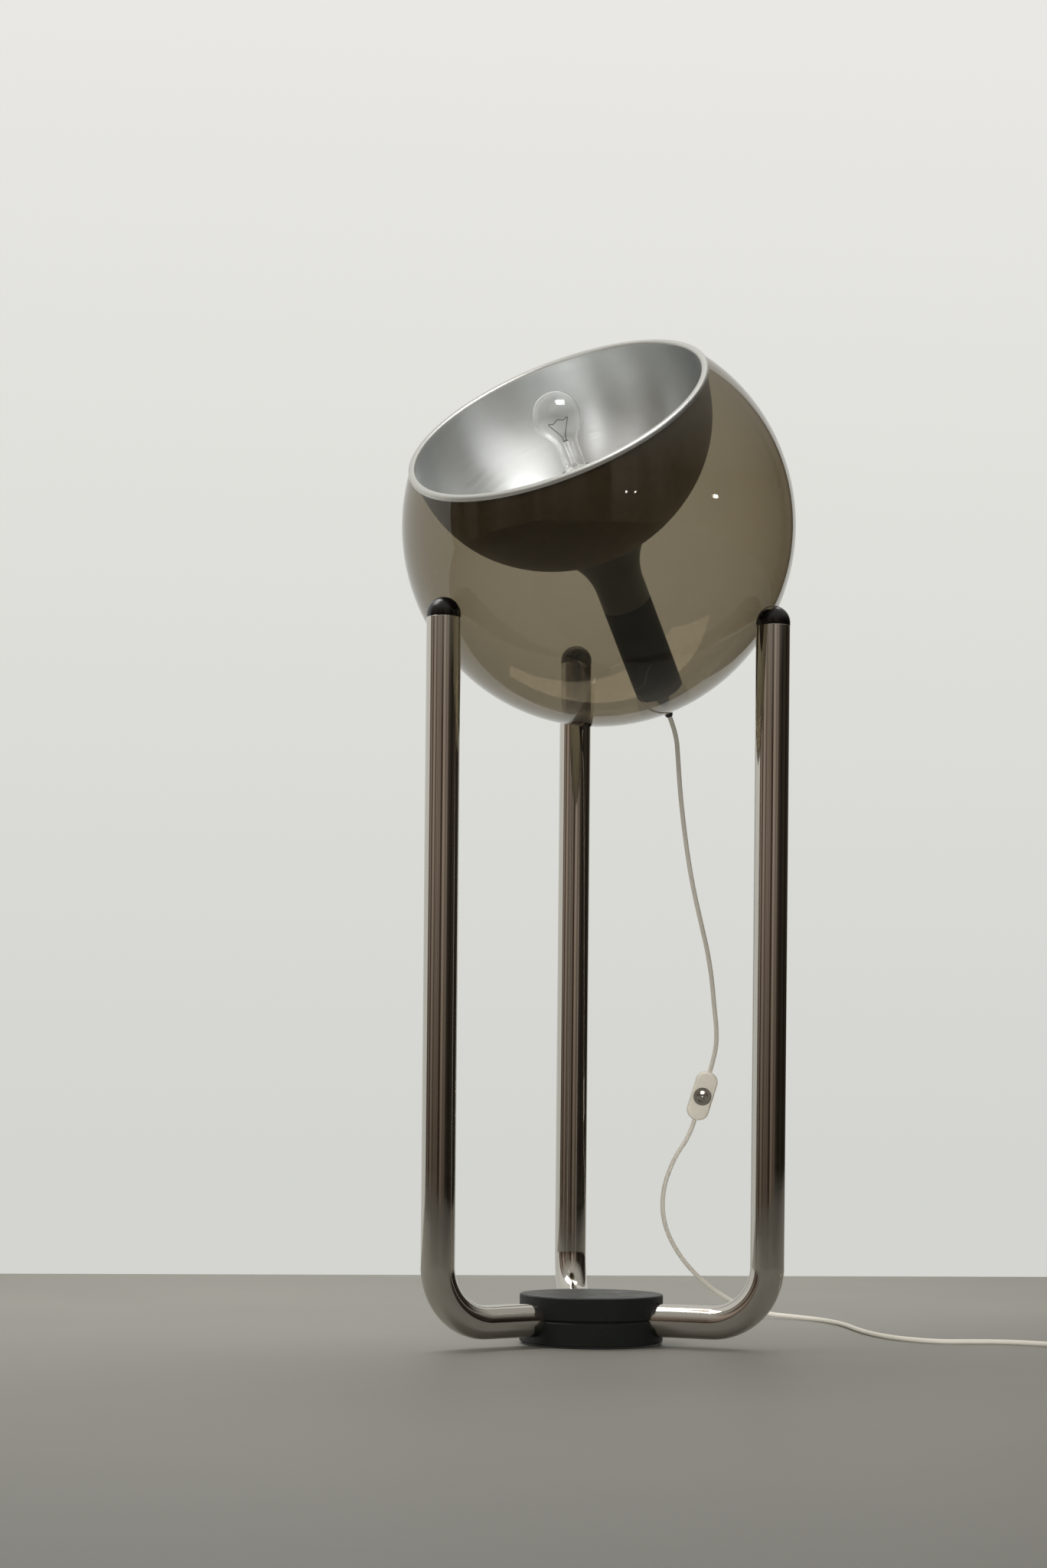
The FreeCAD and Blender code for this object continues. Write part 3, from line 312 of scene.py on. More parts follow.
bpy.ops.mesh.extrude_region_move(TRANSFORM_OT_translate={"value": (0, 0, -cap_shank)})
bpy.ops.mesh.edge_face_add()
select_edges(cap, lambda spot: abs(spot.z - leg_top) < same_spot
             and math.hypot(spot.x - leg_circle, spot.y) > tube_radius - cap_round)
bpy.ops.mesh.bevel(offset=cap_round, segments=3, affect="EDGES")
bpy.ops.mesh.select_all(action="SELECT")
bpy.ops.mesh.normals_make_consistent(inside=False)
bpy.ops.object.mode_set(mode="OBJECT")
bpy.ops.object.shade_smooth_by_angle(angle=math.radians(40))

# Moulded phenolic: black and glossy from the mould, with a faint flow in its colour and gloss.
mould_flow_mm = 7.0
phenolic, tree, place = start_material("black_moulded_phenolic")
flow = cloudy(tree, place, mould_flow_mm, 3.0)
gloss = ranged(tree, flow, (0.3, 0.7), (0.2, 0.34))
moulding = mixed(tree, flow, linear("#070707"), linear("#121212"))
end_material(tree, {
    "Base Color": moulding,
    "Roughness": gloss,
    "IOR": 1.55,
})
cap.data.materials.append(phenolic)
for side, turn in leg_turns.items():
    pick(cap)
    bpy.ops.object.duplicate(linked=False)
    dome = bpy.context.object
    dome.name = side + "_leg_cap"
    lay_on(dome, Matrix.Rotation(math.radians(turn), 4, "Z"))
    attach(dome, "stand")
    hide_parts("leg_cap_" + side)
bpy.data.objects.remove(cap)

# Globe: a ball of smoked acrylic, blown and cut open for the reflector, with a hole in its tail for
# the stem. It rests loosely on the three caps and leans over towards the front left.
globe_radius = 0.225
globe_wall = 0.004
opening_height = 0.1375
stem_hole = 0.00515
globe_centre = Vector((0, 0, 0.931912))
lean_way = math.radians(230.9)
lean_axis = Vector((-math.sin(lean_way), math.cos(lean_way), 0))
globe_lean = math.radians(40)
globe_place = Matrix.Translation(globe_centre) @ Matrix.Rotation(globe_lean, 4, lean_axis)


def arc(centre, radius, start, end, count):
    """Points of a round edge of an outline, from one angle above level to another."""
    angles = [math.radians(start + (end - start) * step / count) for step in range(count + 1)]
    return [
        (centre[0] + radius * math.cos(turn), centre[1] + radius * math.sin(turn)) for turn in angles
    ]


def turn_on_lathe(name, outline, steps):
    """Draws half of a round piece's section, point by point, and spins it about the Z axis."""
    bpy.ops.object.select_all(action="DESELECT")
    bpy.ops.mesh.primitive_plane_add(size=0.001)
    piece = bpy.context.object
    piece.name = name
    bpy.ops.object.mode_set(mode="EDIT")
    bpy.ops.mesh.select_mode(type="VERT")
    bpy.ops.mesh.select_all(action="SELECT")
    bpy.ops.mesh.merge(type="CENTER")
    bpy.ops.transform.translate(value=(outline[0][0], 0, outline[0][1]))
    for here, there in zip(outline, outline[1:]):
        step = (there[0] - here[0], 0, there[1] - here[1])
        bpy.ops.mesh.extrude_vertices_move(TRANSFORM_OT_translate={"value": step})
    bpy.ops.mesh.select_all(action="SELECT")
    bpy.ops.mesh.spin(steps=steps, angle=2 * math.pi, center=(0, 0, 0), axis=(0, 0, 1))
    bpy.ops.mesh.select_all(action="SELECT")
    bpy.ops.mesh.remove_doubles(threshold=same_spot)
    bpy.ops.mesh.normals_make_consistent(inside=False)
    bpy.ops.object.mode_set(mode="OBJECT")
    bpy.ops.object.shade_smooth_by_angle(angle=math.radians(35))
    return piece


def rise_of(height, radius):
    """How far above level, in degrees, a ball's surface stands at a height over its middle."""
    return math.degrees(math.asin(height / radius))


inner_globe = globe_radius - globe_wall
tail_rise = -math.degrees(math.acos(stem_hole / globe_radius))
inner_tail_rise = -math.degrees(math.acos(stem_hole / inner_globe))
globe = turn_on_lathe("smoked_globe", [
    *arc((0, 0), globe_radius, rise_of(opening_height, globe_radius), tail_rise, 72),
    *arc((0, 0), inner_globe, inner_tail_rise, rise_of(opening_height, inner_globe), 72),
    (globe_radius * math.cos(math.asin(opening_height / globe_radius)), opening_height),
], steps=160)
lay_on(globe, globe_place)

# Smoked acrylic: clear and glossy, dyed brown-grey through its thickness, so that it is darker where
# the eye looks along the wall.
acrylic, tree, _ = start_material("smoked_acrylic")
cast_acrylic = add_node(tree, "ShaderNodeBsdfPrincipled", {
    "Base Color": linear("#FFFFFF"),
    "Transmission Weight": 1.0,
    "Roughness": 0.0,
    "IOR": 1.49,
})
brown_dye = add_node(tree, "ShaderNodeVolumeAbsorption", {"Color": linear("#B6AA8A"), "Density": 300.0})
add_node(tree, "ShaderNodeOutputMaterial", {
    "Surface": cast_acrylic.outputs["BSDF"], "Volume": brown_dye.outputs["Volume"],
})
globe.data.materials.append(acrylic)
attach(globe, "globe")
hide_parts("globe_shell")

# Rim: a turned aluminium ring on the globe's cut edge that traps the reflector's flange. Its face is
# left bright from the lathe, with rounded edges.
ring_inner = 0.17027
ring_outer = 0.17810
ring_height = 0.0055
ring_round = 0.0026
flange_step = 0.17660
bowl_sheet = 0.0012
ring_top = opening_height + ring_height
rim = turn_on_lathe("bright_rim_ring", [
    (ring_inner, opening_height + bowl_sheet),
    (flange_step, opening_height + bowl_sheet),
    (flange_step, opening_height),
    (ring_outer, opening_height),
    *arc((ring_outer - ring_round, ring_top - ring_round), ring_round, 0, 90, 6),
    *arc((ring_inner + ring_round, ring_top - ring_round), ring_round, 90, 180, 6),
    (ring_inner, opening_height + bowl_sheet),
], steps=160)
lay_on(rim, globe_place)

# Turned aluminium: pale, satin from the lathe tool.
turning_mm = 4.0
bright_aluminium, tree, place = start_material("turned_aluminium")
turning = cloudy(tree, place, turning_mm, 3.0)
satin = ranged(tree, turning, (0.3, 0.7), (0.36, 0.5))
end_material(tree, {
    "Base Color": linear("#D4D4D0"),
    "Metallic": 1.0,
    "Roughness": satin,
})
rim.data.materials.append(bright_aluminium)
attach(rim, "globe")
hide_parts("rim_ring")

# Reflector: a bowl of 1.2 mm aluminium, spun over a form, bright inside and enamelled brown
# outside. Its flange lies on the globe's edge, and its flat floor carries the holder's pillar.
bowl_radius = 0.171524
bowl_middle = 0.131
bowl_depth = 0.918 * bowl_radius
shoulder_radius = 0.863 * bowl_radius
shoulder_offset = bowl_radius - shoulder_radius
crown_gap = bowl_depth - shoulder_radius
crown_radius = (bowl_depth ** 2 + shoulder_offset ** 2 - shoulder_radius ** 2) / (2 * crown_gap)
crown_middle = bowl_middle - bowl_depth + crown_radius
bowl_floor_radius = 0.0345
flange_radius = 0.1765
bowl_floor = crown_middle - math.sqrt(crown_radius ** 2 - bowl_floor_radius ** 2)
meeting_turn = math.degrees(math.atan2(bowl_middle - crown_middle, shoulder_offset))
floor_turn = -math.degrees(math.acos(bowl_floor_radius / crown_radius))
inside_radius = bowl_radius - bowl_sheet
inside_floor = bowl_floor + bowl_sheet
inside_turn = math.degrees(math.asin((inside_floor - crown_middle) / (crown_radius - bowl_sheet)))
bowl = turn_on_lathe("spun_reflector", [
    (flange_radius, opening_height),
    (bowl_radius, opening_height),
    *arc((shoulder_offset, bowl_middle), shoulder_radius, 0, meeting_turn, 24),
    *arc((0, crown_middle), crown_radius, meeting_turn, floor_turn, 16),
    (stem_hole, bowl_floor),
    (stem_hole, inside_floor),
    *arc((0, crown_middle), crown_radius - bowl_sheet, inside_turn, meeting_turn, 16),
    *arc((shoulder_offset, bowl_middle), shoulder_radius - bowl_sheet, meeting_turn, 0, 24),
    (inside_radius, opening_height + bowl_sheet),
    (flange_radius, opening_height + bowl_sheet),
    (flange_radius, opening_height),
], steps=144)

# The spinning's own map: along the section in U, round the bowl in V, for the lines that the
# spinner's roller leaves round the bowl. Each face also gets its side's material.
bright_side = 0
enamel_side = 1
roller_map = bowl.data.uv_layers.new(name="roller_lines")
for face in bowl.data.polygons:
    face_turn = math.atan2(face.center.y, face.center.x)
    for corner in face.loop_indices:
        spot = bowl.data.vertices[bowl.data.loops[corner].vertex_index].co
        turn = math.atan2(spot.y, spot.x)
        turn += 2 * math.pi * round((face_turn - turn) / (2 * math.pi))
        along = math.atan2(math.hypot(spot.x, spot.y), bowl_middle - spot.z)
        roller_map.data[corner].uv = (along / math.pi, turn / (2 * math.pi))
    inward = face.normal.x * face.center.x + face.normal.y * face.center.y
    inward += face.normal.z * (face.center.z - bowl_middle)
    is_bright = inward < 0 or face.center.z > opening_height
    face.material_index = bright_side if is_bright else enamel_side
lay_on(bowl, globe_place)

# Spun aluminium: satin, with light drawn out across the roller's lines. The lines are drawn 2.5 mm
# apart, because the real ones are too fine to show.
roller_line_mm = 2.5
bowl_section_mm = 540.0
bowl_tarnish_mm = 55.6
patches_round = 2.0
spun_aluminium, tree, place = start_material("spun_aluminium")
mapped = add_node(tree, "ShaderNodeUVMap", {}, uv_map="roller_lines")
rings = add_node(tree, "ShaderNodeMapping", {
    "Vector": mapped.outputs[0], "Scale": (bowl_section_mm / roller_line_mm, patches_round, 1.0),
})
roller = add_node(tree, "ShaderNodeTexNoise", {"Vector": rings.outputs[0], "Scale": 1.0, "Detail": 3.0})
tarnish = cloudy(tree, place, bowl_tarnish_mm, 4.0)
tone = mixed(tree, tarnish, linear("#C6C8C7"), linear("#D6D8D6"))
spun_dullness = ranged(tree, roller.outputs[0], (0.25, 0.75), (0.31, 0.41))
grooves = bumped(tree, roller.outputs[0], 0.25, 0.2)
across = add_node(tree, "ShaderNodeTangent", {}, direction_type="UV_MAP", uv_map="roller_lines")
end_material(tree, {
    "Base Color": tone,
    "Metallic": 1.0,
    "Roughness": spun_dullness,
    "Anisotropic": 0.7,
    "Tangent": across.outputs[0],
    "Normal": grooves,
})
bowl.data.materials.append(spun_aluminium)

# Stoved enamel on the bowl's outside: half glossy, slightly uneven. The real enamel is dark brown;
# its colour here is painted a much paler brown as painted light, standing in for the light that
# reaches it inside the globe. It looks nearly black behind the smoked wall, because its light passes
# that wall twice.
enamel_flow_mm = 12.0
enamel, tree, place = start_material("brown_stoved_enamel")
coat = cloudy(tree, place, enamel_flow_mm, 3.0)
# Painted light: this pale brown stands in for light on the bowl's outside, not for the enamel's own
# colour.
brown_paled_as_painted_light = mixed(tree, coat, linear("#8F8372"), linear("#A89B89"))
coat_gloss = ranged(tree, coat, (0.3, 0.7), (0.52, 0.64))
end_material(tree, {
    "Base Color": brown_paled_as_painted_light,
    "Roughness": coat_gloss,
    "IOR": 1.5,
})
bowl.data.materials.append(enamel)
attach(bowl, "globe")
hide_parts("reflector_bowl")

# Collar and sleeve: a spun collar under the bowl that draws in to a neck, enamelled grey, and a
# black tube between that neck and the globe's tail. Both are held on the stem by its nuts.
collar_grey, tree, place = start_material("grey_stoved_enamel")
coat = cloudy(tree, place, enamel_flow_mm, 3.0)
grey = mixed(tree, coat, linear("#62635C"), linear("#757670"))
end_material(tree, {
    "Base Color": grey,
    "Roughness": 0.45,
    "IOR": 1.5,
})
dress(collar_grey, "neck_flare")
tube_grain_mm = 3.0
black_tube, tree, place = start_material("black_extruded_tube")
tube_grain = cloudy(tree, place, tube_grain_mm, 3.0)
soot = mixed(tree, tube_grain, linear("#020202"), linear("#060606"))
end_material(tree, {
    "Base Color": soot,
    "Roughness": 0.6,
})
dress(black_tube, "socket_sleeve")

# Lamp holder: a two-part holder moulded in dark phenolic, screwed on the stem above a footed
# aluminium pillar, with a glazed porcelain insert and brass contacts inside.
dress(phenolic, "holder_cap", "holder_skirt", "switch_contact_block")
dress(bright_aluminium, "holder_pillar")
glaze_mm = 9.0
porcelain, tree, place = start_material("glazed_porcelain")
glaze = cloudy(tree, place, glaze_mm, 2.0)
white_ware = mixed(tree, glaze, linear("#E2DED2"), linear("#EFECE4"))
end_material(tree, {
    "Base Color": white_ware,
    "Roughness": 0.18,
    "IOR": 1.52,
})
dress(porcelain, "holder_insert")
tarnish_mm = 5.0
brass, tree, place = start_material("dull_brass")
tarnish = cloudy(tree, place, tarnish_mm, 3.0)
yellow = mixed(tree, tarnish, linear("#9C8048"), linear("#C9AE6C"))
brass_dullness = ranged(tree, tarnish, (0.3, 0.7), (0.25, 0.42))
end_material(tree, {
    "Base Color": yellow,
    "Metallic": 1.0,
    "Roughness": brass_dullness,
})
dress(brass, "holder_screw_shell", "holder_contact", "tail_nut", "plug_pins")

# Bulb: a clear blown-glass bulb with a glass foot that carries the wires, screwed into the holder
# by its metal cap. The thin glass throws no shadow worth showing.
clear_glass, tree, _ = start_material("clear_blown_glass")
end_material(tree, {
    "Base Color": linear("#FFFFFF"),
    "Transmission Weight": 1.0,
    "Roughness": 0.0,
    "IOR": 1.5,
})
dress(clear_glass, "bulb_glass", "bulb_mount")
for name in ("bulb_glass", "bulb_mount"):
    nodes[name].visible_shadow = False
dress(bright_aluminium, "bulb_cap")
wire_oxide_mm = 2.5
wire, tree, place = start_material("drawn_tungsten_wire")
oxide = cloudy(tree, place, wire_oxide_mm, 2.0)
wire_tone = mixed(tree, oxide, linear("#3A3836"), linear("#6A6662"))
end_material(tree, {
    "Base Color": wire_tone,
    "Metallic": 1.0,
    "Roughness": 0.4,
})
dress(wire, "bulb_filament")

# Tail: a rubber washer and a brass nut on the stem's end, and a black tapered bushing that the cord
# comes out of.
rubber_bloom_mm = 4.0
black_rubber, tree, place = start_material("black_rubber")
bloom = cloudy(tree, place, rubber_bloom_mm, 3.0)
rubber_tone = mixed(tree, bloom, linear("#121212"), linear("#232322"))
end_material(tree, {
    "Base Color": rubber_tone,
    "Roughness": 0.75,
})
dress(black_rubber, "tail_gasket")
dress(phenolic, "cord_bushing")

# Cord: 5.6 mm round two-core lead in cream plastic. It leaves the bushing straight and hangs to the
# switch in a slack line.
cord_radius = 0.0028
tail_reach = 0.2543
straight_run = 0.026
switch_half_length = 0.030
run_above_switch = 0.025
slack_end = (0.1755, 0.1960, 0.364)
cord_dirt_mm = 60.0
cream_plastic, tree, place = start_material("cream_flexible_plastic")
dirt = cloudy(tree, place, cord_dirt_mm, 5.0)
cream = mixed(tree, dirt, linear("#E9E4D6"), linear("#F6F2E8"))
cream_gloss = ranged(tree, dirt, (0.3, 0.7), (0.4, 0.55))
end_material(tree, {
    "Base Color": cream,
    "Roughness": cream_gloss,
    "IOR": 1.5,
})
dress(cream_plastic, "inner_cord")


def draw_cord(name, route):
    """A smooth cord whose spline has the route's points as its control points."""
    data = bpy.data.curves.new(name, "CURVE")
    data.dimensions = "3D"
    data.resolution_u = 10
    spline = data.splines.new("NURBS")
    spline.points.add(len(route) - 1)
    for point, spot in zip(spline.points, route):
        point.co = (*spot, 1.0)
    spline.order_u = 3
    spline.use_endpoint_u = True
    cord = bpy.data.objects.new(name, data)
    bpy.context.scene.collection.objects.link(cord)
    return cord


def thicken(cord):
    """Gives the line of a cord its round section."""
    cord.data.bevel_depth = cord_radius
    cord.data.bevel_resolution = 4
    cord.data.use_fill_caps = True


tail_way = (Matrix.Rotation(globe_lean, 3, lean_axis) @ Vector((0, 0, -1))).normalized()
tail_exit = globe_centre + tail_way * tail_reach
straight_end = tail_exit + tail_way * straight_run
switch_middle = Vector((0.1603, 0.2084, 0.2845))
switch_way = Vector((-0.269, 0.147, -0.952)).normalized()
switch_top = switch_middle - switch_way * switch_half_length
switch_foot = switch_middle + switch_way * switch_half_length
hanging = draw_cord("cord_to_switch", [
    tail_exit,
    straight_end,
    (0.1170, 0.1475, 0.690),
    (0.1212, 0.1550, 0.650),
    (0.1265, 0.1605, 0.612),
    (0.1325, 0.1650, 0.575),
    (0.1407, 0.1700, 0.534),
    (0.1520, 0.1760, 0.492),
    (0.1612, 0.1815, 0.458),
    (0.1675, 0.1870, 0.425),
    (0.1712, 0.1915, 0.393),
    slack_end,
    switch_top - switch_way * run_above_switch,
    switch_top,
])
bpy.context.view_layer.update()
line = bpy.data.meshes.new_from_object(hanging.evaluated_get(bpy.context.evaluated_depsgraph_get()))
thicken(hanging)
pick(hanging)
bpy.ops.object.convert(target="MESH")
hanging = bpy.context.object
bpy.ops.object.shade_smooth_by_angle(angle=math.radians(50))
hanging.data.materials.append(cream_plastic)
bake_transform(hanging)
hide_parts("cord_upper")

# Switch: an in-line push switch in ivory plastic, two halves screwed together from the back, with a
# chromed ring round its chromed button. It hangs on the cord.
ivory_flow_mm = 16.0
ivory, tree, place = start_material("ivory_moulded_plastic")
ageing = cloudy(tree, place, ivory_flow_mm, 4.0)
aged = mixed(tree, ageing, linear("#DAD4C3"), linear("#E8E3D6"))
ivory_gloss = ranged(tree, ageing, (0.3, 0.7), (0.28, 0.42))
end_material(tree, {
    "Base Color": aged,
    "Roughness": ivory_gloss,
    "IOR": 1.53,
})
dress(ivory, "switch_front_shell", "switch_back_shell", "plug_body")
dress(chrome, "switch_bezel", "switch_button")

# Lower cord: the same lead from the switch down to the floor, round behind the right leg and away to
# the right. The length that is put away lies there in a neat coil of two layers, up to its plug.
coil_radius = 0.0375
coil_pitch = 0.0063
coil_turns = 1.875
coil_climb = 0.5
coil_low = 0.0039
coil_rise = 0.0061
coil_middle = Vector((0.5956, -0.0385, coil_low))
points_per_turn = 24
run_below_switch = 0.022
coil_end_run = 0.012
plug_run = 0.034


def coil_spot(turn):
    """A point of the coil after so many turns: inwards below, up half a turn, outwards above."""
    climbed = (turn - coil_turns) / coil_climb
    inmost = coil_radius - coil_pitch * coil_turns
    if climbed < 0:
        reach, rise = coil_radius - coil_pitch * turn, 0
    elif climbed < 1:
        reach = inmost - coil_pitch * coil_climb * climbed * (1 - climbed)
        rise = climbed * climbed * (3 - 2 * climbed)
    else:
        reach, rise = inmost + coil_pitch * (turn - coil_turns - coil_climb), 1
    turned = math.radians(-90 + 360 * turn)
    return coil_middle + Vector((reach * math.cos(turned), reach * math.sin(turned), coil_rise * rise))


all_turns = 2 * coil_turns + coil_climb
coil = [coil_spot(step / points_per_turn) for step in range(int(all_turns * points_per_turn) + 1)]
plug_end = coil[-1] + Vector((0, plug_run, 0))
lying = draw_cord("cord_to_plug", [
    switch_foot,
    switch_foot + switch_way * run_below_switch,
    (0.1285, 0.2250, 0.208),
    (0.1175, 0.2500, 0.165),
    (0.1255, 0.2830, 0.119),
    (0.1580, 0.3200, 0.071),
    (0.2100, 0.3520, 0.028),
    (0.2620, 0.3620, 0.0065),
    (0.3060, 0.3380, 0.0034),
    (0.3350, 0.2900, 0.003),
    (0.3450, 0.2220, 0.003),
    (0.3435, 0.1520, 0.003),
    (0.3490, 0.0860, 0.003),
    (0.3660, 0.0260, 0.003),
    (0.4020, -0.0140, 0.003),
    (0.4400, -0.0120, 0.003),
    (0.4760, -0.0140, 0.003),
    (0.5070, -0.0340, 0.0032),
    (0.5320, -0.0610, 0.0036),
    (0.5620, -0.0760, 0.0039),
    (0.5900, -0.0760, 0.0039),
    *coil,
    coil[-1] + Vector((0, coil_end_run, 0)),
    plug_end,
])
thicken(lying)
lying.data.materials.append(cream_plastic)
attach(lying, "stand")
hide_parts("cord_lower", "cord_coil")
dress(cream_plastic, "coil_tie")

# Studio: a pale floor with painted shade that darkens it towards the front, a white wall 1.2 m behind
# the lamp that glows where it is seen or mirrored, with painted shade low down, soft light from above,
# the left and low in front, small lamps for the globe's glints, and softboxes for the reflector with
# its rim, the switch and the bulb. The chrome shows a dim warm hall all round.
floor_size = 14.0
floor_drop = 0.0004
floor_patch_mm = 333.0
shade_near = -1.6
shade_far = 0.6
bpy.ops.object.select_all(action="DESELECT")
bpy.ops.mesh.primitive_plane_add(size=floor_size, location=(0, 0, -floor_drop))
floor = bpy.context.object
floor.name = "studio_floor"
floor_paint, tree, place = start_material("grey_floor_paint")
floor_tone = cloudy(tree, place, floor_patch_mm, 4.0)
floor_colour = mixed(tree, floor_tone, linear("#9C9A93"), linear("#A8A69E"))
# Painted shade: the floor is painted darker towards the front, where less light falls on it.
floor_spot = add_node(tree, "ShaderNodeSeparateXYZ", {"Vector": place})
front_shade_share = ranged(tree, floor_spot.outputs["Y"], (shade_near, shade_far), (0.0, 1.0))
floor_with_painted_shade = mixed(tree, front_shade_share, linear("#807F79"), floor_colour)
end_material(tree, {"Base Color": floor_with_painted_shade, "Roughness": 0.6})
floor.data.materials.append(floor_paint)

wall_width = 8.0
wall_right = 1.0
wall_behind = 1.21
wall_foot = -0.1
wall_rise = 14.0
bpy.ops.object.select_all(action="DESELECT")
bpy.ops.mesh.primitive_plane_add(
    size=1.0,
    location=(wall_right - wall_width / 2, wall_behind, wall_foot + wall_rise / 2),
    rotation=(math.pi / 2, 0, 0),
)
backdrop = bpy.context.object
backdrop.name = "studio_wall"
backdrop.scale = (wall_width, wall_rise, 1.0)
bpy.ops.object.transform_apply(location=True, rotation=True, scale=True)
wall_paint, tree, place = start_material("white_wall_paint")
path = add_node(tree, "ShaderNodeLightPath", {})
seen = add_node(tree, "ShaderNodeMath", {
    0: path.outputs["Is Camera Ray"], 1: path.outputs["Is Glossy Ray"],
}, operation="MAXIMUM")
seen = add_node(tree, "ShaderNodeMath", {
    0: seen.outputs[0], 1: path.outputs["Is Transmission Ray"],
}, operation="MAXIMUM")
# Painted shade: the wall is painted darker towards its foot, where it gets less light. It glows in that
# colour for the camera, mirrors and glass.
wall_height = add_node(tree, "ShaderNodeSeparateXYZ", {"Vector": place})
wall_shade_share = ranged(tree, wall_height.outputs["Z"], (0.2, 2.0), (0.0, 1.0))
wall_tone_with_painted_shade = mixed(tree, wall_shade_share, linear("#D4D5D0"), linear("#E9E8E4"))
wall_matte = add_node(tree, "ShaderNodeBsdfDiffuse", {"Color": wall_tone_with_painted_shade})
wall_glow = add_node(tree, "ShaderNodeEmission", {"Color": wall_tone_with_painted_shade, "Strength": 1.0})
wall_front = add_node(tree, "ShaderNodeMixShader", {
    0: seen.outputs[0], 1: wall_matte.outputs[0], 2: wall_glow.outputs[0],
})
see_through = add_node(tree, "ShaderNodeBsdfTransparent", {})
wall_side = add_node(tree, "ShaderNodeNewGeometry", {})
wall_faces = add_node(tree, "ShaderNodeMixShader", {
    0: wall_side.outputs["Backfacing"], 1: wall_front.outputs[0], 2: see_through.outputs[0],
})
add_node(tree, "ShaderNodeOutputMaterial", {"Surface": wall_faces.outputs[0]})
backdrop.data.materials.append(wall_paint)


def light_group(name, *members):
    """The pieces that a light is linked to."""
    group = bpy.data.collections.new(name)
    for member in members:
        group.objects.link(member)
    return group


bowl_only = light_group("lit_by_the_bowl_lights", bowl, rim)
globe_only = light_group("lit_by_the_small_lamps", globe)
bulb_only = light_group("lit_by_the_bulb_light", nodes["bulb_glass"])
switch_only = light_group("lit_by_the_switch_light", *[
    nodes[name] for name in ("switch_front_shell", "switch_bezel", "switch_button")])

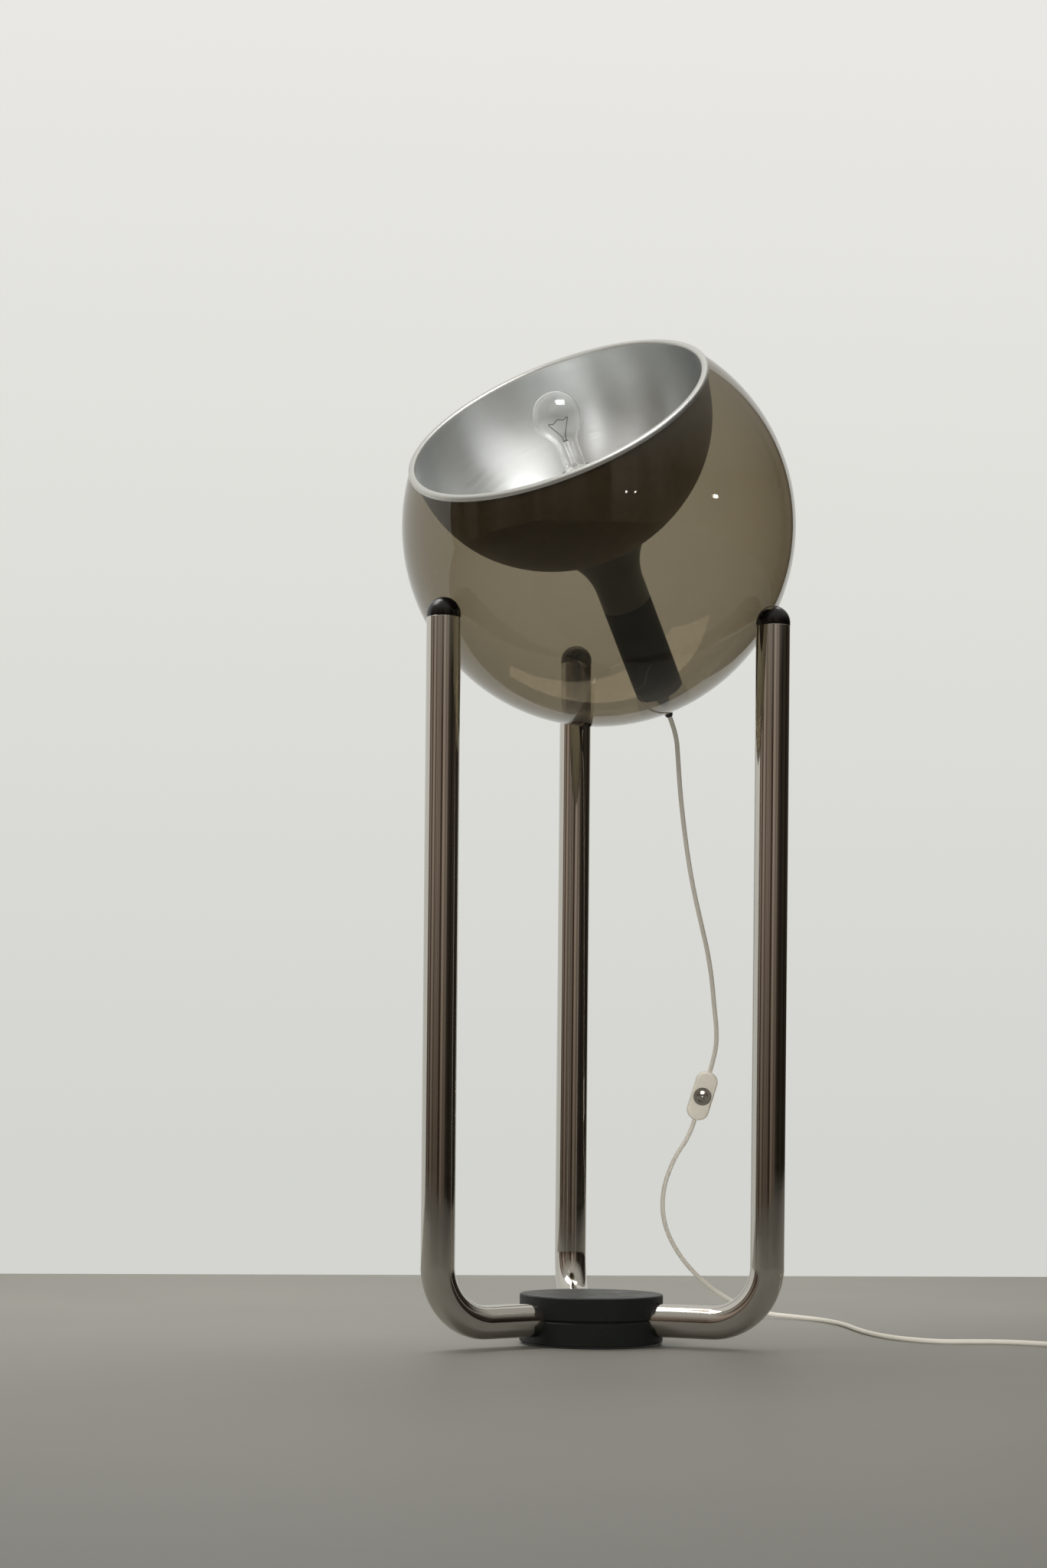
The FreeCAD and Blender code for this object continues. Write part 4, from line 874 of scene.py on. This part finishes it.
# The rim and the bulb would mirror the skylight as plain white, so they alone are left out of it.
sky_lit = light_group("lit_by_the_skylight", rim, nodes["bulb_glass"])
for entry in sky_lit.collection_objects:
    entry.light_linking.link_state = "EXCLUDE"
globe_aim = (0.0, 0.0, 0.93)
bowl_aim = (-0.05, -0.06, 1.0)
for name, place, target, width, height, power, spread, mirrored, lit in (
    ("skylight", (-0.4, 0.6, 2.75), (-0.1, -0.1, 0.9), 3.2, 1.0, 44.0, 180, True, sky_lit),
    ("left_window", (-3.4, -0.8, 2.0), (0.0, 0.4, 0.9), 1.6, 2.2, 18.0, 180, False, None),
    ("low_fill", (0.2, -3.6, 0.3), (0.15, 0.1, 0.1), 1.6, 0.3, 2.2, 26, False, None),
    ("right_lamp", (2.73, -1.53, 1.5), globe_aim, 0.16, 0.08, 1.2, 180, True, globe_only),
    ("front_lamp_left", (0.434, -3.157, 1.393), globe_aim, 0.06, 0.06, 0.2, 180, True, globe_only),
    ("front_lamp_right", (0.708, -3.104, 1.401), globe_aim, 0.06, 0.06, 0.2, 180, True, globe_only),
    ("bowl_light", (1.05, -2.7, 2.0), bowl_aim, 3.8, 1.6, 29.0, 180, True, bowl_only),
    ("high_bowl_light", (-0.05, -0.95, 3.3), bowl_aim, 0.8, 0.8, 32.0, 180, True, bowl_only),
    ("left_bowl_light", (-2.6, -1.5, 1.7), bowl_aim, 2.0, 1.2, 6.5, 180, True, bowl_only),
    ("streak_light", (-1.8, -2.4, 1.1), bowl_aim, 0.5, 1.8, 7.0, 180, True, bowl_only),
    ("switch_light", (0.0, -2.0, 0.9), (0.16, 0.2, 0.28), 1.0, 0.8, 14.0, 180, True, switch_only),
    ("bulb_light", (0.4, -1.45, 3.05), (-0.05, -0.06, 1.05), 1.6, 1.2, 40.0, 180, True, bulb_only),
):
    lamp = bpy.data.lights.new(name, "AREA")
    lamp.shape = "RECTANGLE"
    lamp.size = width
    lamp.size_y = height
    lamp.energy = power
    lamp.spread = math.radians(spread)
    light = bpy.data.objects.new(name, lamp)
    light.location = place
    light.rotation_euler = (Vector(target) - Vector(place)).to_track_quat("-Z", "Y").to_euler()
    light.visible_glossy = mirrored
    light.visible_transmission = mirrored
    light.light_linking.receiver_collection = lit
    bpy.context.scene.collection.objects.link(light)

columns_per_radian = 3.2
hall = bpy.data.worlds.new("dim_warm_hall")
hall.use_nodes = True
bpy.context.scene.world = hall
tree = hall.node_tree
tree.nodes.clear()
way = add_node(tree, "ShaderNodeTexCoord", {}).outputs["Generated"]
sides = add_node(tree, "ShaderNodeSeparateXYZ", {"Vector": way})
behind = add_node(tree, "ShaderNodeMath", {0: sides.outputs["Y"], 1: -1.0}, operation="MULTIPLY")
bearing = add_node(tree, "ShaderNodeMath", {
    0: sides.outputs["X"], 1: behind.outputs[0],
}, operation="ARCTAN2")
columns = add_node(tree, "ShaderNodeTexNoise", {
    "W": bearing.outputs[0], "Scale": columns_per_radian, "Detail": 3.0, "Roughness": 0.6,
}, noise_dimensions="1D")
column_share = ranged(tree, columns.outputs[0], (0.42, 0.6), (0.0, 1.0))
hall_low = mixed(tree, column_share, linear("#2E251E"), linear("#73665A"))
hall_high = mixed(tree, column_share, linear("#493D34"), linear("#A99B8E"))
hall_rise = ranged(tree, sides.outputs["Z"], (0.0, 0.25), (0.0, 1.0))
hall_tone = mixed(tree, hall_rise, hall_low, hall_high)
right_share = ranged(tree, sides.outputs["X"], (0.2, 0.8), (0.0, 0.9))
hall_sides = mixed(tree, right_share, hall_tone, linear("#1A1712"))
ceiling_share = ranged(tree, sides.outputs["Z"], (0.35, 0.75), (0.0, 1.0))
hall_roof = mixed(tree, ceiling_share, hall_sides, linear("#B8B6B0"))
path = add_node(tree, "ShaderNodeLightPath", {})
seen = add_node(tree, "ShaderNodeMath", {
    0: path.outputs["Is Camera Ray"], 1: path.outputs["Is Transmission Ray"],
}, operation="MAXIMUM")
shown = mixed(tree, seen.outputs[0], hall_roof, linear("#DADAD5"))
air = add_node(tree, "ShaderNodeBackground", {"Color": shown, "Strength": 1.0})
add_node(tree, "ShaderNodeOutputWorld", {"Surface": air.outputs[0]})

bpy.context.scene.view_settings.view_transform = "Standard"
